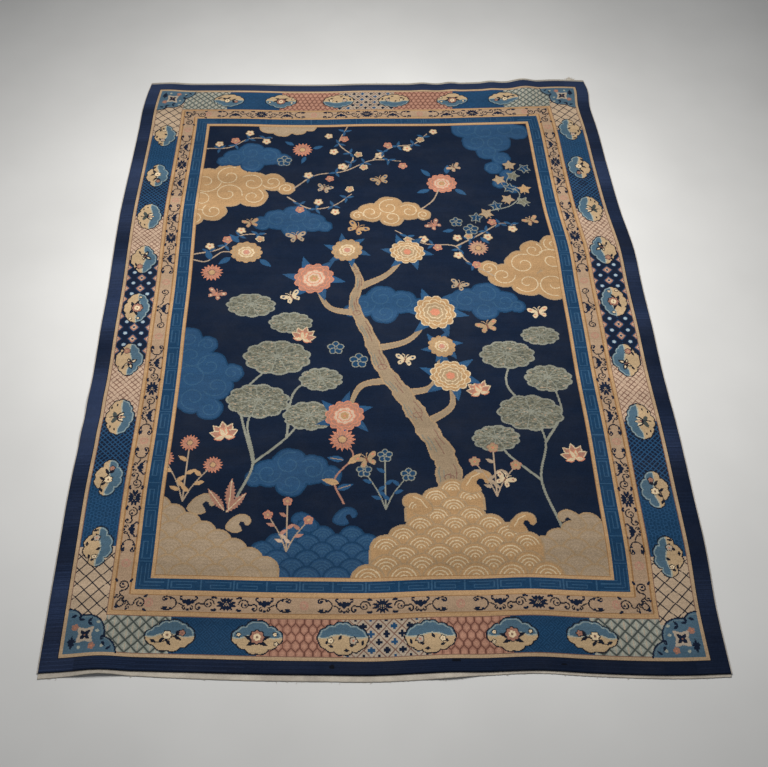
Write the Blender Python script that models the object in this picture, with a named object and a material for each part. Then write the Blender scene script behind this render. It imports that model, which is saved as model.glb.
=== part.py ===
"""A hand-knotted Chinese wool carpet lying on a floor.

The carpet is knotted in one piece, so its cotton foundation, its wool pile and the flat woven
strip at each end are one solid. The two long sides are finished with a thick overcast edge,
wound round the outermost warps after weaving, and each of those is a solid of its own.

Metres, +Z up. The origin is on the floor under the middle of the carpet. +X is to the right
and +Y is away from a viewer who stands at the near end. Run with
blender --background --python part.py
"""

import math
from collections import namedtuple

import bmesh
import bpy
import numpy as np

# Driving sizes
WIDTH = 2.700           # across the two overcast edges, before their wander
PILE_LENGTH = 3.700     # of the knotted pile, before its wander
FOUNDATION = 0.003      # thickness of the bare woven cotton
PILE_CROWN = 0.010      # thickness of foundation and pile together
PILE_RIM = 0.0076       # the same at the very edge, where the pile is worn round
CROWN_INSET = 0.007     # how far inside the edge the pile has its full height
PILE_FACE = 0.0012      # how far the pile's end face leans in over the woven strip
FAR_WEB = 0.019         # width of the woven strip at the far end
EDGE_DIAMETER = 0.0056  # of an overcast edge
EDGE_GAP = 0.0003       # between an overcast edge and the pile beside it
EDGE_BEVEL_STEPS = 2    # gives the overcast edge eight sides

HALF_WIDTH = WIDTH / 2 - EDGE_DIAMETER - EDGE_GAP
HALF_LENGTH = PILE_LENGTH / 2

# How far each long side stands out (+) or draws in (-) from a straight line, in mm, at a
# distance y in mm from the middle.
Side = namedtuple("Side", "y left right")
SIDE_WANDER = (
    Side(-1850, 8, 2),
    Side(-1570, 15, 6),
    Side(-1340, 20, 23),
    Side(-1050, 26, 29),
    Side(-740, 21, 34),
    Side(-400, 20, 31),
    Side(-120, 27, 37),
    Side(140, 29, 38),
    Side(400, 38, 45),
    Side(700, 45, 24),
    Side(1040, 39, 14),
    Side(1400, 33, 8),
    Side(1590, 33, -2),
    Side(1760, 20, 9),
    Side(1850, 7, -5),
)

# How far the pile's near and far ends stand out (+) or draw in (-), and the width of the woven
# strip at the near end, in mm, at a distance x in mm from the middle.
End = namedtuple("End", "x near far web")
END_WANDER = (
    End(-1345, -24, -2, 24),
    End(-1220, -30, 3, 21),
    End(-1110, -34, -8, 16),
    End(-980, -29, -10, 20),
    End(-740, -20, -13, 25),
    End(-480, -10, -25, 26),
    End(-240, -4, -27, 26),
    End(-50, 0, -20, 26),
    End(200, -8, -22, 25),
    End(400, -9, -23, 14),
    End(600, -13, -17, 12),
    End(800, 0, -9, 13),
    End(1000, 10, -1, 13),
    End(1150, 13, 8, 14),
    End(1345, 9, -2, 13),
)

# Low ripples that run in from an edge, in mm: where the crest meets the edge, how far to each
# side it spreads, how far in it runs, and how high it lifts the carpet off the floor.
Ripple = namedtuple("Ripple", "edge place spread reach height")
RIPPLES = (
    Ripple("far", 960, 105, 340, 17),
    Ripple("far", 760, 75, 190, 8),
    Ripple("far", 510, 75, 170, 9),
    Ripple("far", 335, 90, 160, 8),
    Ripple("near", -1120, 150, 300, 12),
    Ripple("near", 270, 130, 210, 6),
    Ripple("left", -560, 100, 280, 7),
    Ripple("left", -745, 90, 240, 6),
)

# Spacing of the surface's rows and columns, in metres: closer where a ripple runs.
Span = namedtuple("Span", "start end step")
COLUMN_SPANS = (
    Span(-HALF_WIDTH + CROWN_INSET, -0.96, 0.058),
    Span(-0.96, 0.18, 0.115),
    Span(0.18, 1.08, 0.050),
    Span(1.08, HALF_WIDTH - CROWN_INSET, 0.090),
)
ROW_SPANS = (
    Span(-HALF_LENGTH + CROWN_INSET, -1.55, 0.060),
    Span(-1.55, -0.84, 0.120),
    Span(-0.84, -0.46, 0.048),
    Span(-0.46, 1.50, 0.122),
    Span(1.50, HALF_LENGTH - CROWN_INSET, 0.058),
)

NAVY_WOOL = (0.016, 0.028, 0.085, 1.0)
CREAM_COTTON = (0.60, 0.52, 0.40, 1.0)
PALE_COTTON = (0.50, 0.50, 0.47, 1.0)
WOOL_ROUGHNESS = 0.85
COTTON_ROUGHNESS = 0.9
WEB_SLOT = 1            # the carpet's second material slot
SHARP_DEGREES = 40      # edges that fold more than this are shaded sharp


def clear_scene():
    for obj in list(bpy.data.objects):
        bpy.data.objects.remove(obj, do_unlink=True)


def yarn_material(name, colour, roughness):
    material = bpy.data.materials.new(name)
    material.use_nodes = True
    shader = material.node_tree.nodes["Principled BSDF"]
    shader.inputs["Base Color"].default_value = colour
    shader.inputs["Roughness"].default_value = roughness
    shader.inputs["Metallic"].default_value = 0.0
    return material


def read_table(table, place_name, value_name, place):
    """The value of a table's column at a place in metres, on a smooth curve through its rows."""
    places = np.array([getattr(row, place_name) for row in table]) / 1000
    values = np.array([getattr(row, value_name) for row in table]) / 1000
    slopes = np.gradient(values, places)
    place = min(max(place, places[0]), places[-1])
    i = min(int(np.searchsorted(places, place, side="right")) - 1, len(places) - 2)
    step = places[i + 1] - places[i]
    t = (place - places[i]) / step
    rise = values[i + 1] - values[i]
    ease = t * t * (3 - 2 * t)
    start_pull = t * (1 - t) ** 2 * slopes[i] * step
    end_pull = t * t * (1 - t) * slopes[i + 1] * step
    return values[i] + rise * ease + start_pull - end_pull


def hump(distance, spread):
    """1 on a ripple's crest, falling smoothly to 0 at its spread and staying 0 beyond it."""
    return math.cos(math.pi / 2 * min(abs(distance) / spread, 1.0)) ** 2


def lift(x, y):
    """Height of the carpet's underside over the floor."""
    total = 0.0
    for ripple in RIPPLES:
        along, inward = {
            "near": (x, y + HALF_LENGTH),
            "far": (x, HALF_LENGTH - y),
            "left": (y, x + HALF_WIDTH),
        }[ripple.edge]
        across = hump(along - ripple.place / 1000, ripple.spread / 1000)
        fade = hump(max(inward, 0.0), ripple.reach / 1000)
        total += ripple.height / 1000 * across * fade
    return total


def wander(x, y):
    """Moves a point of the straight plan to its place in the uneven one."""
    right_share = (x / HALF_WIDTH + 1) / 2
    far_share = (y / HALF_LENGTH + 1) / 2
    out_left = read_table(SIDE_WANDER, "y", "left", y)
    out_right = read_table(SIDE_WANDER, "y", "right", y)
    out_near = read_table(END_WANDER, "x", "near", x)
    out_far = read_table(END_WANDER, "x", "far", x)
    moved_x = x - out_left * (1 - right_share) + out_right * right_share
    moved_y = y - out_near * (1 - far_share) + out_far * far_share
    return moved_x, moved_y


def stations(spans):
    """The places of all grid lines in a row of spans, each line once."""
    places = [spans[0].start]
    for span in spans:
        count = max(1, round((span.end - span.start) / span.step))
        places += list(np.linspace(span.start, span.end, count + 1)[1:])
    return places


# A grid line across the carpet: its place on the straight plan, how much of the woven strip's
# width lies between it and the pile, and the carpet's thickness along it.
Line = namedtuple("Line", "place web_share thickness")


def pile_columns():
    inner = [Line(x, 0.0, PILE_CROWN) for x in stations(COLUMN_SPANS)]
    left = [Line(-HALF_WIDTH, 0.0, PILE_RIM)]
    right = [Line(HALF_WIDTH, 0.0, PILE_RIM)]
    return left + inner + right


def carpet_rows():
    inner = [Line(y, 0.0, PILE_CROWN) for y in stations(ROW_SPANS)]
    near = [
        Line(-HALF_LENGTH, 1.0, FOUNDATION),
        Line(-HALF_LENGTH, 0.0, FOUNDATION),
        Line(-HALF_LENGTH + PILE_FACE, 0.0, PILE_RIM),
    ]
    far = [
        Line(HALF_LENGTH - PILE_FACE, 0.0, PILE_RIM),
        Line(HALF_LENGTH, 0.0, FOUNDATION),
        Line(HALF_LENGTH, 1.0, FOUNDATION),
    ]
    return near + inner + far


def surface_point(column, row):
    """Plan position, height of the underside and thickness where two grid lines cross."""
    x, y = wander(column.place, row.place)
    if row.place < 0:
        y -= row.web_share * read_table(END_WANDER, "x", "web", column.place)
    else:
        y += row.web_share * FAR_WEB
    return x, y, lift(column.place, row.place), min(column.thickness, row.thickness)


def carpet():
    """Foundation, pile and both woven strips, as one closed slab of varying thickness."""
    columns = pile_columns()
    rows = carpet_rows()
    mesh_edit = bmesh.new()
    bmesh.ops.create_grid(
        mesh_edit,
        x_segments=len(columns) - 1,
        y_segments=len(rows) - 1,
        size=0.5,
    )
    raised = bmesh.ops.extrude_face_region(
        mesh_edit, geom=mesh_edit.faces[:], use_keep_orig=True
    )
    upper = {item for item in raised["geom"] if isinstance(item, bmesh.types.BMVert)}
    for face in mesh_edit.faces:
        row_number = (face.calc_center_median().y + 0.5) * (len(rows) - 1)
        if row_number < 1 or row_number > len(rows) - 2:
            face.material_index = WEB_SLOT
    for vertex in mesh_edit.verts:
        column = columns[round((vertex.co.x + 0.5) * (len(columns) - 1))]
        row = rows[round((vertex.co.y + 0.5) * (len(rows) - 1))]
        x, y, underside, thickness = surface_point(column, row)
        z = underside + (thickness if vertex in upper else 0.0)
        vertex.co = (x, y, z)
    bmesh.ops.recalc_face_normals(mesh_edit, faces=mesh_edit.faces[:])
    mesh = bpy.data.meshes.new("carpet")
    mesh_edit.to_mesh(mesh)
    mesh_edit.free()
    mesh.materials.append(yarn_material("wool_pile", NAVY_WOOL, WOOL_ROUGHNESS))
    mesh.materials.append(yarn_material("cotton_web", CREAM_COTTON, COTTON_ROUGHNESS))
    mesh.shade_smooth()
    mesh.set_sharp_from_angle(angle=math.radians(SHARP_DEGREES))
    return bpy.data.objects.new("carpet", mesh)


def overcast_edge(name, side, material):
    """The thick wound edge along one long side: side is -1 for the left and 1 for the right."""
    radius = EDGE_DIAMETER / 2
    curve = bpy.data.curves.new(name, "CURVE")
    curve.dimensions = "3D"
    curve.bevel_depth = radius
    curve.bevel_resolution = EDGE_BEVEL_STEPS
    curve.use_fill_caps = True
    places = [-HALF_LENGTH] + stations(ROW_SPANS) + [HALF_LENGTH]
    spline = curve.splines.new("POLY")
    spline.points.add(len(places) - 1)
    for point, place in zip(spline.points, places):
        x, y = wander(side * HALF_WIDTH, place)
        x += side * (radius + EDGE_GAP)
        point.co = (x, y, lift(side * HALF_WIDTH, place) + radius, 1.0)
    curve.materials.append(material)
    return bpy.data.objects.new(name, curve)


def build():
    clear_scene()
    collection = bpy.data.collections.new("chinese_rug")
    bpy.context.scene.collection.children.link(collection)
    pale = yarn_material("overcast_cotton", PALE_COTTON, COTTON_ROUGHNESS)
    collection.objects.link(carpet())
    collection.objects.link(overcast_edge("overcast_edge_left", -1, pale))
    collection.objects.link(overcast_edge("overcast_edge_right", 1, pale))


build()
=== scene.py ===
"""A hand-knotted wool rug with a traditional border and a garden field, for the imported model."""
import math
from collections import namedtuple

import bpy
import numpy as np
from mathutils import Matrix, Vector


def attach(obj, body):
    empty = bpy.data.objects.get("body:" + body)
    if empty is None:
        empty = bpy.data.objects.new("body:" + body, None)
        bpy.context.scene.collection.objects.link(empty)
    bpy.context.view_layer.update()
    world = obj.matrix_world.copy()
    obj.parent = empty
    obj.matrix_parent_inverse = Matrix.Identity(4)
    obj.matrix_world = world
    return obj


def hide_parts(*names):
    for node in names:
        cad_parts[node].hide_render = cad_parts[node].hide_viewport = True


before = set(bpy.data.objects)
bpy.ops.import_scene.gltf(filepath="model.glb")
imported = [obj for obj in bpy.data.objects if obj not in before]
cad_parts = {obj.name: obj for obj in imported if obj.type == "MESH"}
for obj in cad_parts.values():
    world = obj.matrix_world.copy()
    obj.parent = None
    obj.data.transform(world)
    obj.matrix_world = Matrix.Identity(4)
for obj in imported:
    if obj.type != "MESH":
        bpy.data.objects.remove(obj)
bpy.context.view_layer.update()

# Sizes of the carpet in metres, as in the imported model
HALF_WIDTH = 1.3441
HALF_LENGTH = 1.850

# The chart of knots, with its places in mm from the middle of the carpet
COLUMNS = 800
ROWS = 1100
KNOT_X = 2000 * HALF_WIDTH / COLUMNS
KNOT_Y = 2000 * HALF_LENGTH / ROWS
COLUMN_MM = (np.arange(COLUMNS) + 0.5) * KNOT_X - 1000 * HALF_WIDTH
ROW_MM = (np.arange(ROWS) + 0.5) * KNOT_Y - 1000 * HALF_LENGTH
chart = np.zeros((ROWS, COLUMNS), np.uint8)

# The dyed yarns, as seen, in sRGB from 0 to 255; the first is the ground of the field
DYES = {
    # The darkest navy yarn serves for old spots and for painted shade beside the near ripple
    "field_navy": (13, 24, 42), "guard_navy": (16, 26, 45), "guard_mid": (21, 31, 51),
    "guard_blue": (28, 39, 62), "guard_pale": (37, 49, 75), "stain": (9, 13, 23), "ink": (20, 24, 36),
    "slate": (62, 68, 66), "brown": (98, 64, 54), "clay_brown": (112, 84, 72), "deep_blue": (21, 52, 80),
    "mid_blue": (34, 68, 100), "blue_bank": (34, 64, 94), "key_blue": (44, 74, 100), "sky": (68, 92, 108),
    "celadon_blue": (88, 106, 114), "pale_blue": (124, 138, 138), "bright_blue": (148, 162, 168),
    "pale_gold": (162, 138, 110), "gold": (162, 131, 96), "old_gold": (134, 100, 66),
    "rich_gold": (152, 121, 86), "wheat": (168, 144, 112), "straw": (143, 120, 92),
    "flax": (146, 128, 108), "bone": (178, 160, 131), "sand": (141, 123, 101), "tan": (168, 147, 124),
    "cream": (160, 146, 129), "ivory": (203, 183, 150), "rose": (172, 112, 88),
    "clay_pink": (144, 104, 88), "pale_clay_pink": (162, 121, 102), "rose_clay": (160, 116, 100),
    "pale_clay": (174, 150, 129), "clay": (152, 128, 105), "grey_green": (128, 131, 123),
    "sage": (99, 97, 83), "dark_sage": (90, 94, 86), "celadon": (148, 150, 138),
    "leaf_pale": (118, 119, 108), "leaf_grey": (103, 106, 98), "leaf_dark": (72, 76, 70),
    "trunk": (130, 113, 92), "bare_web": (184, 175, 160),
}
YARN = {name: number for number, name in enumerate(DYES)}

# Where a motif lies: the place in mm of its origin, how far it is turned anticlockwise in
# degrees, its size, and -1 for a mirror image
Place = namedtuple("Place", "x y turn size flip", defaults=(0, 1, 1))


def put(spot, points):
    """Points of a motif moved to where it lies on the carpet, in mm."""
    points = np.asarray(points, float).reshape(-1, 2) * [spot.size * spot.flip, spot.size]
    c, s = math.cos(math.radians(spot.turn)), math.sin(math.radians(spot.turn))
    return points @ np.array([[c, s], [-s, c]]) + [spot.x, spot.y]


def at(spot, x, y, turn=0, size=1, flip=1):
    """A place given inside another place."""
    (moved_x, moved_y), = put(spot, [(x, y)])
    return Place(moved_x, moved_y, spot.turn + spot.flip * turn, spot.size * size, spot.flip * flip)


def window(points, margin=0.0):
    """The rows and columns of the chart that a set of points covers."""
    low = points.min(axis=0) - margin
    high = points.max(axis=0) + margin
    columns = slice(*np.searchsorted(COLUMN_MM, [low[0], high[0]]))
    rows = slice(*np.searchsorted(ROW_MM, [low[1], high[1]]))
    return rows, columns


def tie(rows, columns, where, yarn, over):
    patch = chart[rows, columns]
    if over:
        where &= np.isin(patch, [YARN[name] for name in over])
    patch[where] = YARN[yarn]


def covered(points):
    """The rows and columns round a closed outline, and which of their knots lie inside it."""
    rows, columns = window(points)
    y = ROW_MM[rows][:, None]
    x = COLUMN_MM[columns][None, :]
    inside = np.zeros((y.shape[0], x.shape[1]), bool)
    for (x1, y1), (x2, y2) in zip(points, np.roll(points, -1, axis=0)):
        if y1 != y2:
            crossing = (y1 > y) != (y2 > y)
            inside ^= crossing & (x < (x2 - x1) * (y - y1) / (y2 - y1) + x1)
    return rows, columns, inside


def fill(points, yarn, over=None):
    """Knots inside a closed outline, or only those of it that now have certain yarns."""
    tie(*covered(points), yarn, over)


def dot(spot, width, height, yarn, x=0, y=0, steps=8):
    """A round spot of one yarn at a point of a motif."""
    fill(put(spot, ellipse(width, height, steps, x, y)), yarn)


def sweep(spot, points, width, yarn, end_width=None):
    """A smooth line of one yarn through a few points of a motif."""
    stroke(put(spot, curve(points)), width, yarn, end_width=end_width)


def stroke(points, width, yarn, closed=False, end_width=None, over=None):
    """Knots along a line, which may narrow to its end."""
    if closed:
        points = np.vstack([points, points[:1]])
    widths = np.linspace(width, width if end_width is None else end_width, len(points))
    for start, end, thick in zip(points[:-1], points[1:], widths):
        reach = thick / 2
        rows, columns = window(np.array([start, end]), reach)
        dx = COLUMN_MM[columns][None, :] - start[0]
        dy = ROW_MM[rows][:, None] - start[1]
        run = end - start
        along = np.clip((dx * run[0] + dy * run[1]) / max(run @ run, 1e-9), 0, 1)
        near = (dx - along * run[0]) ** 2 + (dy - along * run[1]) ** 2 < reach * reach
        tie(rows, columns, near, yarn, over)


def curve(points, closed=False, steps=7):
    """A smooth line through a few points."""
    points = np.asarray(points, float)
    if closed:
        ring = np.vstack([points[-1:], points, points[:2]])
    else:
        first = 2 * points[0] - points[1]
        last = 2 * points[-1] - points[-2]
        ring = np.vstack([first, points, last])
    t = (np.arange(steps) / steps)[:, None]
    parts = []
    for a, b, c, d in zip(ring[:-3], ring[1:-2], ring[2:-1], ring[3:]):
        bend = (2 * a - 5 * b + 4 * c - d) * t * t + (3 * b - a - 3 * c + d) * t ** 3
        parts.append(b + 0.5 * ((c - a) * t + bend))
    return np.vstack(parts if closed else parts + [points[-1:]])


def ellipse(width, height, steps=8, x=0, y=0):
    angle = np.arange(steps) / steps * 2 * math.pi
    return np.stack([x + width / 2 * np.cos(angle), y + height / 2 * np.sin(angle)], 1)


def rosette(radius, lobes, depth, turn=0.0, squash=1.0):
    """A round outline of scalloped lobes, with a notch between each two."""
    points = 9 * lobes
    angle = np.arange(points) / points * 2 * math.pi
    swell = np.abs(np.cos(lobes * angle / 2)) ** 0.7
    reach = radius * (1 - depth + depth * swell)
    angle = angle + math.radians(turn)
    return np.stack([reach * np.cos(angle), squash * reach * np.sin(angle)], 1)


def arc(start, end, bulge):
    """A bow from one point to another, which swells to its left by a share of its length."""
    start, end = np.asarray(start, float), np.asarray(end, float)
    t = np.linspace(0, 1, 9)[:, None]
    run = end - start
    left = np.array([-run[1], run[0]])
    return start + run * t + left * bulge * 4 * t * (1 - t)


def scallops(joints, bulge):
    """A closed outline of bows between joints, which go round clockwise."""
    return np.vstack([arc(a, b, bulge)[:-1] for a, b in zip(joints, joints[1:] + joints[:1])])


def spiral(x, y, radius, turns, start, way, inner=0.15):
    """A curl that winds in towards its middle."""
    t = np.linspace(0, 1, int(16 * turns) + 2)
    angle = math.radians(start) + way * t * turns * 2 * math.pi
    reach = radius * (1 - t * (1 - inner))
    return np.stack([x + reach * np.cos(angle), y + reach * np.sin(angle)], 1)


# Borders
# Rows of bare cotton at the far end, where the pile is worn off
BARE_ROWS = 5

# The plain colour of each band, from the edge of the pile to the field, and the numbers of the
# bands that carry a pattern
BAND_YARNS = ("guard_navy", "pale_gold", "tan", "gold", "clay", "gold", "deep_blue", "gold")
PANEL_BAND = 2
SCROLL_BAND = 4
FRET_BAND = 6
FIELD_BAND = 8

# How far from the corners the diapers end, in mm
DIAPER_INSET = 200

# Where the bands start, in knots in from the edge of the pile; the last number is the field
NEAR_STARTS = (0, 16, 20, 67, 73, 94, 100, 115, 120)
FAR_STARTS = (0, 23, 27, 78, 82, 99, 103, 118, 124)
LONG_STARTS = (0, 21, 25, 71, 76, 95, 100, 118, 123)

# The four sides, each seen from outside: its middle, the way it is turned, half its length, where
# its bands start, the places of its cartouches in mm from its middle and their size, how fine its
# diapers are, and its fret's units
RugSide = namedtuple("RugSide", "x y turn half starts cartouches size fine units")
NEAR = RugSide(0, -1000 * HALF_LENGTH, 0, 1000 * HALF_WIDTH, NEAR_STARTS,
               (-847, -500, -160, 187, 512, 828), 1.02, 1.0, 15)
RIGHT = RugSide(1000 * HALF_WIDTH, 0, 90, 1000 * HALF_LENGTH, LONG_STARTS,
                (-1358, -1041, -687, -334, 36, 392, 702, 1039, 1368), 0.98, 1.0, 24)
FAR = RugSide(0, 1000 * HALF_LENGTH, 180, 1000 * HALF_WIDTH, FAR_STARTS,
              (-825, -513, -159, 176, 523, 839), 0.93, 1.2, 15)
LEFT = RugSide(-1000 * HALF_WIDTH, 0, 270, 1000 * HALF_LENGTH, LONG_STARTS,
               (-1338, -992, -660, -338, -2, 326, 664, 987, 1321), 0.98, 1.0, 24)
SHORT_SIDES = (NEAR, FAR)
LONG_SIDES = (LEFT, RIGHT)


def depth(side, band):
    """How far in a band starts, in mm."""
    return side.starts[band] * KNOT_X


def middle(side, band):
    return (depth(side, band) + depth(side, band + 1)) / 2


def on_side(side, s, t, size=1, flip=1):
    """A place s mm along a side and t mm in from its edge."""
    return at(Place(side.x, side.y, side.turn), s, t, 0, size, flip)


def band_numbers(starts, knots):
    """The band that each row or column of knots lies in, counted from one edge."""
    return np.searchsorted(starts, np.arange(knots), side="right") - 1


def bands():
    """The plain colours of the bands."""
    column = band_numbers(LONG_STARTS, COLUMNS)
    column = np.minimum(column, column[::-1])
    row = np.minimum(band_numbers(NEAR_STARTS, ROWS), band_numbers(FAR_STARTS, ROWS)[::-1])
    band = np.minimum(row[:, None], column[None, :])
    for number, yarn in enumerate(BAND_YARNS):
        chart[band == number] = YARN[yarn]
    abrash_and_painted_light(band == 0)
    chart[ROWS - BARE_ROWS:] = YARN["bare_web"]


def abrash_and_painted_light(guard):
    """Lighter batches of navy in rows of the outer band, with painted light: more of it to the left and the
    far end as painted sheen, and a painted highlight on the left side's ripple.
    """
    row = np.arange(ROWS)[:, None]
    x, y = np.arange(COLUMNS)[None, :] / COLUMNS, row / ROWS
    uneven = row * 7919 % 101 / 101 - 0.5
    wave = 0.6 * np.sin(row / 41) + 0.4 * np.sin(row / 17 + 2) + 0.8 * uneven
    long_sides = np.abs(x - 0.5) > 0.45
    # A painted highlight where the ripple on the left side catches the light
    ripple_highlight = np.exp(-((row - 375) / 45) ** 2) * (x < 0.05)
    # Lighter along the long sides, plus the painted ripple highlight
    sides_and_ripple_highlight = 0.45 * long_sides + 1.4 * ripple_highlight
    # The terms in x and y are painted sheen: lighter to the left and toward the far end
    share = wave + 0.25 - x + (0.55 + 0.7 * x) * y + sides_and_ripple_highlight
    for limit, yarn in ((0, "guard_mid"), (0.6, "guard_blue"), (1.2, "guard_pale")):
        chart[guard & (share > limit)] = YARN[yarn]


def dark_spots_and_painted_shade():
    """Old dark spots in the near end's outer band; the one at 281 mm is painted shade beside the near ripple
    there.
    """
    # The spot at 281 mm is painted shade where the near ripple rises
    for x, t, width, height in ((-204, 31, 22, 17), (281, 45, 40, 12), (700, 26, 26, 8)):
        outline = ellipse(width, height, 10, x, NEAR.y + t)
        fill(outline, "stain", over=("guard_navy", "guard_mid", "guard_blue"))


def band_corners(band, inward=0.0):
    """The corners of a band's outer edge, round the carpet."""
    x = RIGHT.x - depth(RIGHT, band) - inward
    near = NEAR.y + depth(NEAR, band) + inward
    far = FAR.y - depth(FAR, band) - inward
    return np.array([(-x, near), (x, near), (x, far), (-x, far)])


def lattice_gap(s, t, wide, high):
    """How far each knot lies from the lines of a diagonal lattice."""
    up, down = s / wide + t / high, s / wide - t / high
    steep = 1 / math.hypot(1 / wide, 1 / high)
    return np.minimum(np.abs(up - np.round(up)), np.abs(down - np.round(down))) * steep


def diamonds(s, t, wide, high):
    """Where each knot lies in its diamond of a lattice, from the diamond's middle."""
    i, j = np.floor(s / wide + t / high), np.floor(s / wide - t / high)
    return s - (i + j + 1) / 2 * wide, t - (i - j) / 2 * high


def off_line(value, period):
    """How far each value lies from the nearest multiple of a period."""
    return (value / period - np.round(value / period)) * period


def pick(s, ground, *layers):
    """Yarn numbers for a patch: the ground, and then each layer where it shows."""
    out = np.full(s.shape, YARN[ground], np.uint8)
    for where, yarn in layers:
        out[where] = YARN[yarn]
    return out


def leaf_fans(s, t):
    gap = lattice_gap(s, t, 50, 50)
    x, y = diamonds(s, t, 50, 50)
    fan = (np.abs(x) / 11 + np.abs(y - 2) / 19 < 1) & (y > -13)
    rib = (np.abs(x) < 1.8) & (y > -17) & (y < 12)
    return pick(s, "dark_sage", (gap > 3.6, "grey_green"), (fan, "celadon"), (rib, "cream"),
                (gap < 2.4, "slate"))


def nested_diamonds(s, t):
    x, y = diamonds(s, t, 54, 54)
    ring = np.abs((np.abs(x) + np.abs(y)) / 13.5 % 1 - 0.5) * 9.5
    return pick(s, "deep_blue", (ring < 1.6, "mid_blue"))


def honeycomb(s, t):
    """Upright six-sided cells, whose rows are set half a cell apart."""
    wide, high = 34, 67
    x, y = np.abs(off_line(s, wide)), np.abs(off_line(t, high))
    roof = y + x - 25.5
    side = np.where(roof < 0, wide / 2 - x, x)
    edge = np.minimum(np.abs(roof) / 1.41, side)
    return pick(s, "clay_pink", (edge > 7.5, "pale_clay_pink"), (edge < 2.4, "brown"))


def crosses(s, t):
    """Crosses in a lattice, every third one blue."""
    wide, high = 62, 65
    x, y = diamonds(s, t + 16, wide, high)
    arm = np.minimum(np.abs(x), np.abs(y))
    cross = (np.maximum(np.abs(x), np.abs(y)) < 14) & (arm < 5.2)
    blue = np.round((s - x) / wide * 2) % 3 == 1
    lines = lattice_gap(s, t + 16, wide, high) < 2.2
    return pick(s, "cream", (lines, "clay_brown"), (cross, "guard_navy"), (cross & blue, "mid_blue"))


def dark_lattice(s, t):
    return pick(s, "tan", (lattice_gap(s, t, 60, 62) < 2.3, "ink"))


def ladder(s, t):
    """Fine wavy rows with short rungs between them."""
    rows = (t + 2.4 * np.sin(s / 5.4)) / 15
    shift = 8 * (np.floor(rows + 0.5) % 2)
    rung = np.abs((s + shift) / 16 % 1 - 0.5) * 16
    return pick(s, "deep_blue", (np.abs(rows % 1 - 0.5) * 15 < 1.7, "mid_blue"), (rung < 1.6, "mid_blue"))


def small_diamonds(s, t):
    return pick(s, "guard_navy", (lattice_gap(s, t, 24, 24) < 2.2, "mid_blue"))


def fine_lattice(s, t):
    return pick(s, "pale_clay", (lattice_gap(s, t, 31, 29) < 1.9, "clay_brown"))


def dots(s, t):
    """Diamonds inside one another, with round dots between them."""
    period = 73
    x = (s / period - np.floor(s / period) - 0.5) * period
    dot_gap = np.hypot(off_line(s, period), np.abs(t) - 39)
    row = np.minimum(np.abs(t), np.abs(np.abs(t) - 78))
    diamond = np.abs(x) / 25 + row / 22
    return pick(s, "guard_navy", (diamond < 1.3, "deep_blue"), (diamond < 1, "clay_pink"),
                (diamond < 0.62, "pale_clay"), (diamond < 0.36, "deep_blue"),
                (dot_gap < 11.5, "mid_blue"), (dot_gap < 8.5, "bright_blue"))


def panel(side, low, high, diaper):
    """A length of the cartouche band filled with a diaper."""
    x = COLUMN_MM[None, :] - side.x
    y = ROW_MM[:, None] - side.y
    turn = math.radians(side.turn)
    s = x * round(math.cos(turn)) + y * round(math.sin(turn))
    t = y * round(math.cos(turn)) - x * round(math.sin(turn))
    start, end = depth(side, PANEL_BAND), depth(side, PANEL_BAND + 1)
    inside = (s >= low) & (s < high) & (t > start) & (t < end)
    chart[inside] = diaper((s[inside] - (low + high) / 2) * side.fine,
                           (t[inside] - (start + end) / 2) * side.fine)


SHORT_DIAPERS = (leaf_fans, nested_diamonds, honeycomb, crosses, honeycomb, nested_diamonds, leaf_fans)
LONG_DIAPERS = (dark_lattice, ladder, small_diamonds, fine_lattice, dots, dots, fine_lattice,
                small_diamonds, ladder, dark_lattice)


def diapers():
    """A diaper in each stretch between two cartouches."""
    for side in SHORT_SIDES + LONG_SIDES:
        kinds = SHORT_DIAPERS if side in SHORT_SIDES else LONG_DIAPERS
        end = side.half - DIAPER_INSET
        limits = (-end,) + side.cartouches + (end,)
        for low, high, diaper in zip(limits, limits[1:], kinds):
            panel(side, low, high, diaper)


# The outlines of the cartouches: the joints between their lobes, in mm from the middle
PEAKED = ((-101, 0), (-76, 22), (-48, 41), (-6, 60), (50, 52), (74, 38), (101, 0),
          (78, -36), (48, -52), (-6, -64), (-62, -45))
POINTED = ((-103, 0), (-82, 30), (-48, 46), (0, 69), (48, 46), (82, 30), (103, 0),
           (82, -32), (48, -50), (0, -70), (-48, -50), (-82, -32))
LOBED = ((-96, 18), (-72, 42), (-36, 54), (0, 67), (36, 54), (72, 42), (96, 18), (96, -18),
         (72, -44), (36, -56), (0, -68), (-36, -56), (-72, -44), (-96, -18))
STEPPED = ((-88, 26), (-56, 34), (-44, 56), (0, 60), (44, 56), (56, 34), (88, 26), (88, -24),
           (56, -32), (42, -54), (0, -60), (-42, -54), (-56, -32), (-88, -24))


def little_bloom(spot, petals, radius, yarn, heart="clay_brown"):
    fill(put(spot, rosette(radius + 3, petals, 0.3)), "ink")
    fill(put(spot, rosette(radius, petals, 0.35)), yarn)
    dot(spot, radius * 0.6, radius * 0.6, heart)


def blade(spot, length, wide, yarn, bend=0.0):
    """A pointed leaf that starts at its place and lies along its x."""
    t = np.linspace(0, 1, 9)[:, None]
    swell = np.sin(np.pi * t ** 0.8) * wide / 2
    line = np.hstack([t * length, bend * np.sin(np.pi * t)])
    upper = line + np.hstack([0 * t, swell])
    lower = line - np.hstack([0 * t, swell])
    fill(put(spot, np.vstack([upper, lower[::-1]])), yarn)


def blades(spot, places, length, wide, yarn):
    """Leaves of one size, each at its x, y and turn inside a place."""
    for x, y, turn in places:
        blade(at(spot, x, y, turn), length, wide, yarn)


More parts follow.
